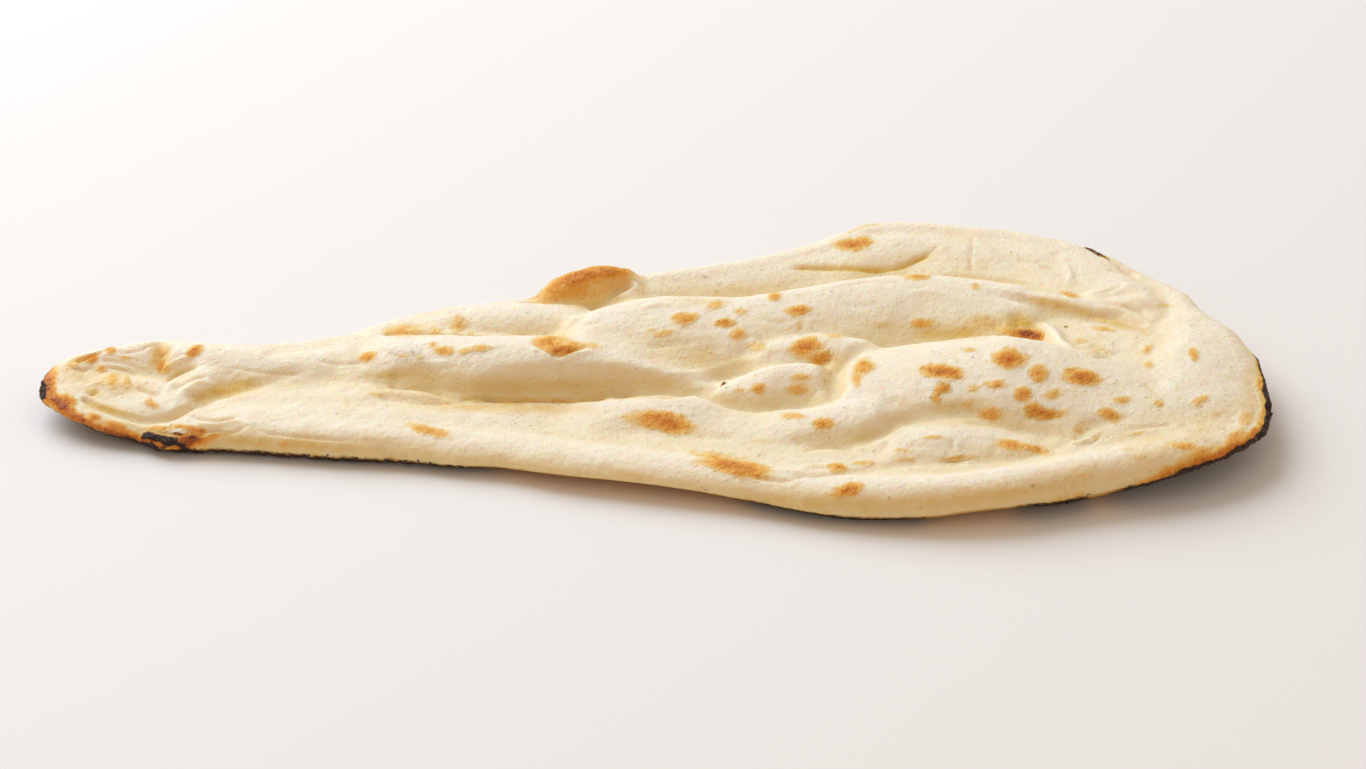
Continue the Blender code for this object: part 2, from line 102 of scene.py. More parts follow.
# Outline: (x, y) along the edge towards -Y and along the edge towards +Y, from the tail to the broad end
NEAR_EDGE = (
    (-0.2048, -0.0185), (-0.2035, -0.0265), (-0.198, -0.0325), (-0.190, -0.0378), (-0.179, -0.042),
    (-0.169, -0.0445), (-0.161, -0.0485), (-0.148, -0.0490), (-0.1285, -0.051), (-0.1015, -0.055),
    (-0.082, -0.057), (-0.062, -0.061), (-0.048, -0.0635), (-0.029, -0.070), (-0.009, -0.0745),
    (0.010, -0.079), (0.0285, -0.0835), (0.042, -0.0878), (0.061, -0.0930), (0.080, -0.0950),
    (0.093, -0.0954), (0.112, -0.0932), (0.1285, -0.0888), (0.1455, -0.0840), (0.162, -0.0798),
    (0.178, -0.073), (0.192, -0.0632), (0.2000, -0.0525), (0.2040, -0.038), (0.2050, -0.022),
)
FAR_EDGE = (
    (-0.2048, -0.0185), (-0.2040, -0.0110), (-0.2010, -0.0050), (-0.1945, -0.0005), (-0.181, 0.0045),
    (-0.168, 0.0085), (-0.155, 0.0095), (-0.141, 0.0090), (-0.1275, 0.0105), (-0.1075, 0.016),
    (-0.0875, 0.025), (-0.074, 0.0295), (-0.060, 0.033), (-0.0465, 0.037), (-0.024, 0.045),
    (-0.006, 0.050), (0.0165, 0.058), (0.038, 0.0675), (0.0526, 0.076), (0.0674, 0.0845),
    (0.0786, 0.0905), (0.1043, 0.0930), (0.126, 0.0910), (0.1474, 0.0855), (0.1641, 0.0745),
    (0.1730, 0.0645), (0.1800, 0.0565), (0.1855, 0.0500), (0.1888, 0.0410), (0.1902, 0.0325),
    (0.1924, 0.0245), (0.1965, 0.0168), (0.2009, 0.0085), (0.2041, -0.006), (0.2050, -0.022),
)

# Along each edge: (x, how far the underside is lifted there, height of the rim's crest)
NEAR_RIM = (
    (-0.2048, 0.0080, 0.0118), (-0.190, 0.0055, 0.0105), (-0.175, 0.0020, 0.0092), (-0.162, 0.0, 0.0085),
    (-0.143, 0.0, 0.0100), (-0.105, 0.0, 0.0110), (-0.070, 0.0005, 0.0100), (-0.048, 0.0020, 0.0104),
    (-0.029, 0.0032, 0.0112), (0.003, 0.0036, 0.0116), (0.028, 0.0020, 0.0116), (0.045, 0.0008, 0.0120),
    (0.066, 0.0, 0.0136), (0.085, 0.0012, 0.0148), (0.104, 0.0035, 0.0160), (0.118, 0.0038, 0.0165),
    (0.1285, 0.0025, 0.0165), (0.1455, 0.0035, 0.0172), (0.165, 0.0065, 0.0180), (0.183, 0.0090, 0.0170),
    (0.198, 0.0100, 0.0152), (0.2050, 0.0100, 0.0145),
)
FAR_RIM = (
    (-0.2048, 0.0080, 0.0118), (-0.198, 0.0070, 0.0138), (-0.186, 0.0050, 0.0148),
    (-0.165, 0.0020, 0.0150), (-0.153, 0.0010, 0.0134), (-0.141, 0.0010, 0.0128),
    (-0.107, 0.0010, 0.0128), (-0.087, 0.0010, 0.0145), (-0.060, 0.0010, 0.0157),
    (-0.030, 0.0020, 0.0165), (0.000, 0.0020, 0.0182), (0.022, 0.0020, 0.0174), (0.052, 0.0020, 0.0163),
    (0.078, 0.0030, 0.0184), (0.104, 0.0030, 0.0163), (0.126, 0.0020, 0.0146), (0.147, 0.0020, 0.0137),
    (0.164, 0.0025, 0.0122), (0.180, 0.0040, 0.0118), (0.197, 0.0085, 0.0130), (0.2050, 0.0100, 0.0145),
)

# Height of the sheet between the folds, along the length
SHEET_TOP = (
    (-0.2048, 0.0110), (-0.180, 0.0095), (-0.160, 0.0088), (-0.120, 0.0095), (-0.080, 0.0090),
    (-0.040, 0.0085), (0.010, 0.0090), (0.060, 0.0100), (0.110, 0.0120), (0.145, 0.0140), (0.165, 0.0152),
    (0.180, 0.0160), (0.190, 0.0158), (0.2050, 0.0150),
)

# Folds that stand up: name, foot height, reach to the right of the crest's course, to its left and past
# its ends, roundness, and the crest's points (x, y, height). Roundness 1 is a full roll with a crease at
# its foot, less is a puffed bubble and more is a soft swell.
FOLDS = (
    ("tail far lip", 0.010, 0.010, 0.010, 0.006, 1.2,
     ((-0.198, -0.008, 0.0130), (-0.190, -0.005, 0.0142), (-0.180, -0.002, 0.0150),
      (-0.171, 0.000, 0.0152))),
    ("tail far lobe", 0.009, 0.009, 0.012, 0.005, 1.0,
     ((-0.160, -0.003, 0.0158), (-0.153, -0.004, 0.0162), (-0.145, -0.005, 0.0158),
      (-0.133, -0.006, 0.0152))),
    ("tail pad", 0.0085, 0.010, 0.011, 0.009, 1.2,
     ((-0.193, -0.019, 0.0112), (-0.182, -0.021, 0.0130), (-0.172, -0.023, 0.0134),
      (-0.163, -0.026, 0.0126))),
    ("tail lower lobe", 0.0080, 0.006, 0.008, 0.006, 1.0,
     ((-0.172, -0.031, 0.0115), (-0.163, -0.033, 0.0120), (-0.159, -0.034, 0.0116))),
    ("twist", 0.0080, 0.010, 0.010, 0.005, 1.3,
     ((-0.1490, -0.0150, 0.0140), (-0.1535, -0.0225, 0.0130), (-0.1575, -0.0290, 0.0118),
      (-0.1595, -0.0345, 0.0106))),
    ("neck roll", 0.0085, 0.013, 0.014, 0.008, 1.4,
     ((-0.150, -0.008, 0.0148), (-0.138, -0.008, 0.0152), (-0.122, -0.008, 0.0145),
      (-0.104, -0.003, 0.0140))),
    ("front band", 0.0088, 0.007, 0.007, 0.008, 1.5,
     ((-0.142, -0.027, 0.0100), (-0.117, -0.027, 0.0105), (-0.096, -0.027, 0.0106))),
    ("second front band", 0.0085, 0.008, 0.007, 0.010, 1.5,
     ((-0.132, -0.037, 0.0104), (-0.103, -0.037, 0.0107), (-0.076, -0.038, 0.0103),
      (-0.050, -0.038, 0.0100))),
    ("shelf", 0.0083, 0.006, 0.006, 0.009, 1.2,
     ((-0.100, -0.0212, 0.0098), (-0.088, -0.0232, 0.0106), (-0.078, -0.0260, 0.0106),
      (-0.070, -0.0285, 0.0096))),
    ("long roll", 0.0078, 0.0148, 0.022, 0.010, 0.66,
     ((-0.100, -0.0030, 0.0132), (-0.088, -0.0030, 0.0170), (-0.073, -0.0065, 0.0194),
      (-0.052, -0.0110, 0.0214), (-0.036, -0.0125, 0.0216), (-0.016, -0.0125, 0.0204),
      (0.001, -0.0138, 0.0174), (0.014, -0.0150, 0.0142))),
    ("back roll", 0.010, 0.014, 0.016, 0.010, 1.0,
     ((-0.092, 0.016, 0.0130), (-0.076, 0.0165, 0.0165), (-0.059, 0.018, 0.0182),
      (-0.042, 0.0185, 0.0190), (-0.028, 0.017, 0.0190))),
    ("middle swell", 0.0095, 0.032, 0.018, 0.012, 1.0,
     ((-0.022, 0.006, 0.0212), (-0.010, 0.0125, 0.0225), (0.004, 0.0155, 0.0235),
      (0.018, 0.0150, 0.0238), (0.034, 0.0155, 0.0238), (0.050, 0.020, 0.0240), (0.066, 0.026, 0.0238),
      (0.084, 0.032, 0.0228), (0.104, 0.033, 0.0215), (0.124, 0.031, 0.0195))),
    ("far rim roll", 0.010, 0.020, 0.012, 0.012, 1.3,
     ((-0.010, 0.0310, 0.0188), (-0.004, 0.0385, 0.0186), (0.004, 0.0440, 0.0176),
      (0.016, 0.049, 0.0170), (0.038, 0.057, 0.0165), (0.053, 0.063, 0.0160))),
    ("middle lobe", 0.010, 0.017, 0.014, 0.014, 1.6,
     ((0.040, -0.0085, 0.0192), (0.049, -0.0055, 0.0200), (0.060, -0.0045, 0.0204),
      (0.070, -0.0075, 0.0202))),
    ("side bubble", 0.0088, 0.013, 0.010, 0.011, 1.1,
     ((0.019, -0.0265, 0.0118), (0.027, -0.0255, 0.0150), (0.037, -0.0235, 0.0182),
      (0.049, -0.022, 0.0198), (0.058, -0.0245, 0.0190), (0.0615, -0.029, 0.0170))),
    ("front bump", 0.0085, 0.013, 0.010, 0.010, 1.1,
     ((-0.020, -0.036, 0.0108), (-0.007, -0.0345, 0.0135), (0.006, -0.035, 0.0145),
      (0.016, -0.037, 0.0138), (0.025, -0.0395, 0.0112))),
    ("apron", 0.009, 0.013, 0.010, 0.008, 0.9,
     ((0.032, -0.042, 0.0108), (0.046, -0.0445, 0.0138), (0.060, -0.0455, 0.0168),
      (0.073, -0.0455, 0.0190))),
    ("main bubble", 0.012, 0.030, 0.026, 0.018, 0.74,
     ((0.0745, -0.0282, 0.0210), (0.083, -0.0265, 0.0228), (0.092, -0.0255, 0.0244),
      (0.104, -0.0248, 0.0264), (0.117, -0.0250, 0.0282), (0.130, -0.0268, 0.0262),
      (0.143, -0.0290, 0.0230), (0.157, -0.031, 0.0203), (0.168, -0.032, 0.0188))),
    ("front bubble", 0.0105, 0.012, 0.010, 0.006, 0.85,
     ((0.0800, -0.0620, 0.0138), (0.0860, -0.0592, 0.0158), (0.0965, -0.0582, 0.0170),
      (0.1085, -0.0598, 0.0163), (0.120, -0.0630, 0.0142))),
    ("far lobe", 0.0130, 0.015, 0.014, 0.012, 1.1,
     ((0.063, 0.065, 0.0158), (0.074, 0.0700, 0.0174), (0.087, 0.0735, 0.0177),
      (0.099, 0.0755, 0.0170), (0.112, 0.0745, 0.0158))),
    ("far panel", 0.010, 0.022, 0.022, 0.014, 1.6,
     ((0.103, 0.068, 0.0158), (0.120, 0.069, 0.0155), (0.138, 0.066, 0.0145), (0.155, 0.058, 0.0132))),
    ("cross ridge", 0.011, 0.007, 0.010, 0.007, 1.0,
     ((0.121, 0.031, 0.0197), (0.134, 0.029, 0.0190), (0.146, 0.0265, 0.0180), (0.158, 0.026, 0.0172),
      (0.172, 0.030, 0.0165))),
    ("right swell", 0.012, 0.014, 0.030, 0.017, 1.1,
     ((0.1865, 0.030, 0.0152), (0.1865, 0.016, 0.0174), (0.182, -0.004, 0.0193),
      (0.177, -0.020, 0.0197), (0.174, -0.036, 0.0194))),
    ("first fan fold", 0.012, 0.006, 0.006, 0.005, 1.4,
     ((0.154, 0.035, 0.0160), (0.166, 0.041, 0.0152))),
    ("torn lip", 0.013, 0.004, 0.005, 0.005, 1.2,
     ((0.1350, 0.0120, 0.0162), (0.1368, 0.0060, 0.0172), (0.1378, -0.0010, 0.0182),
      (0.1405, -0.0075, 0.0194))),
    ("rim blister", 0.012, 0.011, 0.010, 0.009, 0.75,
     ((-0.0325, 0.0345, 0.0222), (-0.026, 0.0355, 0.0243), (-0.017, 0.0375, 0.0248),
      (-0.0105, 0.0385, 0.0230))),
)

# Creases that cut down: name, half width, and the floor's points (x, y, height)
CREASES = (
    ("neck crease", 0.0055,
     ((-0.104, -0.0110, 0.0150), (-0.115, -0.0140, 0.0127), (-0.125, -0.0172, 0.0108),
      (-0.135, -0.0212, 0.0095), (-0.1435, -0.0255, 0.0087), (-0.1500, -0.0300, 0.0084))),
    ("tail foot", 0.0030,
     ((-0.148, -0.0290, 0.0086), (-0.1529, -0.0345, 0.0082), (-0.1562, -0.0385, 0.0080),
      (-0.1603, -0.0403, 0.0080), (-0.1668, -0.0403, 0.0080), (-0.1755, -0.0378, 0.0082),
      (-0.1826, -0.0345, 0.0088), (-0.188, -0.0300, 0.0096))),
    ("tail pit", 0.0040,
     ((-0.167, 0.004, 0.0135), (-0.166, -0.004, 0.0120), (-0.165, -0.0115, 0.0110))),
    ("tail crack", 0.0022,
     ((-0.193, -0.009, 0.0120), (-0.190, -0.0065, 0.0126), (-0.187, -0.005, 0.0134))),
    ("tail crease", 0.0032,
     ((-0.184, -0.008, 0.0128), (-0.177, -0.0085, 0.0122), (-0.169, -0.0105, 0.0112))),
    ("shelf crease", 0.0045,
     ((-0.088, -0.0275, 0.0092), (-0.074, -0.0300, 0.0086), (-0.062, -0.0275, 0.0082))),
    ("roll crease", 0.0046,
     ((-0.0862, -0.0176, 0.0096), (-0.0760, -0.0202, 0.0092), (-0.0692, -0.0248, 0.0088),
      (-0.0610, -0.0270, 0.0082), (-0.051, -0.0265, 0.0078), (-0.027, -0.0255, 0.0078),
      (-0.007, -0.0245, 0.0082), (0.008, -0.0252, 0.0094), (0.020, -0.0262, 0.0112))),
    ("back crease", 0.0040,
     ((-0.090, 0.0085, 0.0133), (-0.073, 0.0045, 0.0142), (-0.052, 0.0010, 0.0150),
      (-0.038, 0.0000, 0.0160), (-0.030, 0.0040, 0.0174), (-0.0245, 0.0095, 0.0196))),
    ("middle dimple", 0.0110,
     ((0.001, -0.014, 0.0168), (0.011, -0.014, 0.0158), (0.020, -0.012, 0.0162))),
    ("side bubble back", 0.0060,
     ((0.030, -0.0165, 0.0160), (0.040, -0.0145, 0.0172), (0.052, -0.0135, 0.0178))),
    ("side bubble foot", 0.0040,
     ((0.016, -0.027, 0.0098), (0.024, -0.033, 0.0092), (0.034, -0.036, 0.0092),
      (0.046, -0.0352, 0.0105), (0.059, -0.0370, 0.0138))),
    ("front bump foot", 0.0060,
     ((0.013, -0.051, 0.0095), (0.025, -0.053, 0.0096))),
    ("apron foot", 0.0050,
     ((0.037, -0.0570, 0.0112), (0.045, -0.0575, 0.0100), (0.055, -0.0580, 0.0094),
      (0.065, -0.0585, 0.0100), (0.074, -0.0565, 0.0114), (0.081, -0.0525, 0.0138),
      (0.091, -0.0510, 0.0152), (0.104, -0.0505, 0.0158), (0.117, -0.0535, 0.0158),
      (0.133, -0.0525, 0.0168))),
    ("main bubble edge", 0.0052,
     ((0.0596, -0.0346, 0.0128), (0.0604, -0.0263, 0.0140), (0.0636, -0.0174, 0.0158),
      (0.0695, -0.0116, 0.0178), (0.0765, -0.0084, 0.0202))),
    ("blister foot", 0.0035,
     ((-0.045, 0.027, 0.0150), (-0.032, 0.0255, 0.0160), (-0.018, 0.0275, 0.0170),
      (-0.009, 0.034, 0.0165))),
    ("far lobe crease", 0.0025,
     ((0.044, 0.0555, 0.0168), (0.056, 0.0560, 0.0160), (0.070, 0.0560, 0.0155),
      (0.082, 0.0565, 0.0154), (0.090, 0.0600, 0.0155), (0.0965, 0.0648, 0.0158),
      (0.102, 0.0700, 0.0162))),
    ("panel crease", 0.0026,
     ((0.088, 0.0475, 0.0200), (0.103, 0.0475, 0.0172), (0.117, 0.0457, 0.0160),
      (0.132, 0.0420, 0.0158))),
    ("right groove", 0.0045,
     ((0.115, 0.0285, 0.0208), (0.124, 0.0262, 0.0182), (0.136, 0.0230, 0.0156),
      (0.148, 0.0192, 0.0140), (0.159, 0.0142, 0.0140), (0.168, 0.0090, 0.0152))),
    ("swell crease", 0.0065,
     ((0.1775, 0.0400, 0.0150), (0.1792, 0.0300, 0.0150), (0.1770, 0.0210, 0.0152),
      (0.1730, 0.0140, 0.0154), (0.1700, 0.0060, 0.0164), (0.1640, -0.0035, 0.0180))),
    ("fan crease", 0.0022,
     ((0.1625, 0.0560, 0.0136), (0.1700, 0.0510, 0.0132), (0.1775, 0.0470, 0.0130))),
    ("torn dent", 0.0060,
     ((0.106, 0.0085, 0.0178), (0.112, 0.0100, 0.0160), (0.118, 0.0105, 0.0150))),
    ("torn pocket", 0.0072,
     ((0.1255, 0.0140, 0.0150), (0.1270, 0.0100, 0.0126), (0.1288, 0.0058, 0.0110),
      (0.1300, 0.0025, 0.0112))),
    ("rim crease", 0.0050,
     ((0.036, -0.0750, 0.0132), (0.044, -0.0785, 0.0120), (0.052, -0.0788, 0.0106),
      (0.060, -0.0765, 0.0098), (0.070, -0.0735, 0.0096), (0.084, -0.0718, 0.0108),
      (0.099, -0.0718, 0.0118), (0.119, -0.0705, 0.0122), (0.130, -0.0655, 0.0130),
      (0.139, -0.058, 0.0138), (0.147, -0.0545, 0.0155), (0.156, -0.052, 0.0172))),
)

# Fine wrinkles: height (below 0 cuts in), half width in pixels, how much golden painted shade lies in its
# groove, and a run of the photograph's pixels (u, v)
WRINKLES = (
    (-0.0009, 1.6, 0.90, ((458, 398), (500, 399), (540, 400), (580, 400), (608, 398))),
    (-0.0005, 1.6, 0.55, ((610, 397), (640, 396), (675, 396), (700, 392))),
    (-0.0006, 1.5, 0.35, ((372, 386), (400, 387), (428, 390), (446, 397))),
    (-0.0005, 1.4, 0.15, ((740, 340), (752, 336), (762, 340), (768, 350))),
    (-0.0004, 1.6, 0.10, ((840, 300), (856, 306), (874, 304))),
    (-0.0004, 1.6, 0.10, ((760, 318), (776, 322), (790, 320))),
    (0.0005, 1.8, 0.00, ((900, 296), (924, 292), (950, 296))),
    (-0.0004, 1.6, 0.10, ((846, 286), (870, 282), (892, 284))),
    (0.0005, 1.8, 0.00, ((640, 308), (664, 304), (690, 306))),
    (-0.0005, 1.5, 0.25, ((905, 402), (896, 400), (888, 404))),
    (0.0004, 1.8, 0.00, ((1150, 372), (1166, 380), (1182, 392))),
    (-0.0004, 1.6, 0.12, ((1142, 382), (1156, 392), (1170, 404))),
    (-0.0005, 1.5, 0.20, ((1128, 429), (1150, 426), (1176, 424))),
    (-0.0004, 1.6, 0.12, ((1016, 256), (1030, 262), (1046, 262))),
    (-0.0005, 1.8, 0.20, ((1140, 276), (1126, 270), (1112, 262))),
    (-0.0004, 1.6, 0.10, ((230, 366), (260, 372), (300, 374))),
    (-0.0004, 1.6, 0.15, ((318, 360), (340, 364), (368, 362))),
    (0.0005, 1.6, 0.00, ((404, 360), (430, 364), (452, 361))),
    (-0.0005, 1.4, 0.20, ((416, 366), (436, 369), (458, 366))),
    (0.0005, 1.4, 0.00, ((536, 362), (556, 366), (580, 364))),
    (-0.0005, 1.3, 0.15, ((540, 368), (556, 371), (574, 369))),
    (-0.0007, 1.5, 0.30, ((163, 384), (174, 376), (186, 370), (200, 366))),
    (0.0005, 1.8, 0.00, ((165, 389), (178, 380), (190, 374), (204, 371))),
    (-0.0007, 1.5, 0.30, ((170, 391), (182, 384), (194, 378), (207, 377))),
    (0.0005, 1.8, 0.00, ((176, 396), (187, 389), (198, 383), (208, 382))),
    (-0.0006, 1.5, 0.25, ((184, 399), (193, 393), (203, 387))),
    (0.0007, 2.2, 0.00, ((160, 374), (176, 363), (194, 356))),
    (-0.0005, 1.8, 0.20, ((104, 366), (122, 369), (140, 376))),
    (0.0005, 2.0, 0.00, ((100, 358), (126, 362), (150, 370))),
    (-0.0006, 2.0, 0.35, ((128, 377), (136, 387), (150, 393), (164, 396))),
    (-0.0006, 2.0, 0.30, ((84, 392), (92, 394), (102, 388))),
    (0.0005, 1.8, 0.00, ((84, 386), (96, 384), (106, 380))),
    (-0.0005, 1.8, 0.20, ((66, 364), (80, 370), (92, 368))),
    (-0.0004, 1.5, 0.15, ((112, 350), (126, 352), (142, 350))),
    (-0.0005, 1.5, 0.20, ((138, 352), (148, 346), (160, 345))),
    (-0.0005, 1.5, 0.25, ((170, 350), (162, 356), (158, 364))),
    (-0.0006, 1.8, 0.25, ((190, 417), (215, 420), (240, 417))),
    (0.0006, 2.0, 0.00, ((190, 424), (206, 426), (226, 424), (244, 420))),
    (-0.0007, 1.5, 0.25, ((202, 432), (216, 430), (232, 432), (246, 426))),
    (0.0005, 2.0, 0.00, ((200, 441), (216, 436), (236, 438))),
    (-0.0005, 1.8, 0.20, ((262, 432), (300, 436), (350, 440))),
    (-0.0006, 1.3, 0.60, ((532, 342), (546, 350), (557, 357), (572, 351), (590, 345))),
    (0.0006, 2.2, 0.00, ((528, 346), (544, 355), (557, 361), (574, 356), (596, 350))),
    (-0.0004, 1.5, 0.30, ((390, 352), (404, 356), (426, 355))),
    (-0.0003, 1.3, 0.10, ((576, 326), (592, 324), (606, 320))),
    (-0.0004, 2.0, 0.20, ((590, 302), (612, 300), (636, 296))),
    (-0.0004, 2.6, 0.20, ((410, 386), (450, 389), (500, 392))),
    (0.0005, 3.1, 0.00, ((650, 377), (680, 374), (710, 371), (740, 362), (768, 358))),
    (-0.0003, 3.5, 0.05, ((662, 384), (700, 381), (740, 374), (760, 368))),
    (-0.0004, 3.1, 0.12, ((640, 350), (670, 344), (706, 340))),
    (-0.0005, 2.0, 0.12, ((800, 452), (830, 447), (860, 452))),
    (0.0006, 2.0, 0.00, ((796, 470), (822, 466), (846, 474))),
    (-0.0006, 2.0, 0.20, ((752, 476), (780, 480), (806, 476))),
    (-0.0006, 1.8, 0.45, ((892, 438), (885, 444), (882, 451))),
    (-0.0006, 1.3, 0.25, ((956, 437), (951, 444), (955, 452))),
    (-0.0005, 1.5, 0.45, ((938, 459), (955, 461), (972, 457))),
    (-0.0005, 1.8, 0.15, ((992, 438), (995, 448), (989, 457))),
    (0.0005, 2.0, 0.00, ((962, 438), (958, 445), (961, 452))),
    (-0.0004, 2.0, 0.15, ((905, 448), (922, 444), (938, 447))),
    (-0.0005, 2.0, 0.15, ((1058, 432), (1072, 440), (1084, 436))),
    (0.0006, 1.8, 0.00, ((1064, 436), (1078, 443), (1092, 438))),
    (-0.0005, 1.5, 0.20, ((1084, 446), (1096, 440), (1104, 430))),
    (-0.0007, 1.3, 0.35, ((973, 235), (971, 252), (970, 272))),
    (-0.0005, 2.6, 0.30, ((1096, 300), (1125, 306), (1152, 318))),
    (0.0005, 2.6, 0.00, ((1094, 306), (1124, 313), (1152, 323))),
    (-0.0005, 2.6, 0.30, ((1086, 312), (1118, 319), (1150, 327))),
    (-0.0005, 2.2, 0.20, ((1036, 266), (1050, 268), (1062, 272))),
    (0.0006, 2.6, 0.00, ((1064, 262), (1070, 274), (1066, 288))),
    (-0.0005, 2.0, 0.20, ((1098, 293), (1112, 289), (1126, 282))),
    (-0.0005, 2.0, 0.15, ((1118, 268), (1136, 276), (1158, 284))),
    (-0.0005, 2.0, 0.15, ((1048, 250), (1056, 254), (1066, 252))),
    (-0.0006, 1.8, 0.30, ((1084, 348), (1096, 345), (1110, 349))),
    (0.0006, 1.8, 0.00, ((1084, 353), (1098, 350), (1114, 354))),
    (-0.0005, 1.8, 0.25, ((1090, 358), (1104, 356), (1118, 359))),
    (-0.0006, 2.2, 1.00, ((790, 268), (840, 268), (872, 270), (900, 267), (920, 258), (935, 252))),
    (-0.0004, 1.5, 0.45, ((940, 275), (970, 277), (1000, 280), (1034, 285))),
    (-0.0003, 1.5, 0.45, ((845, 234), (864, 226), (884, 222))),
)

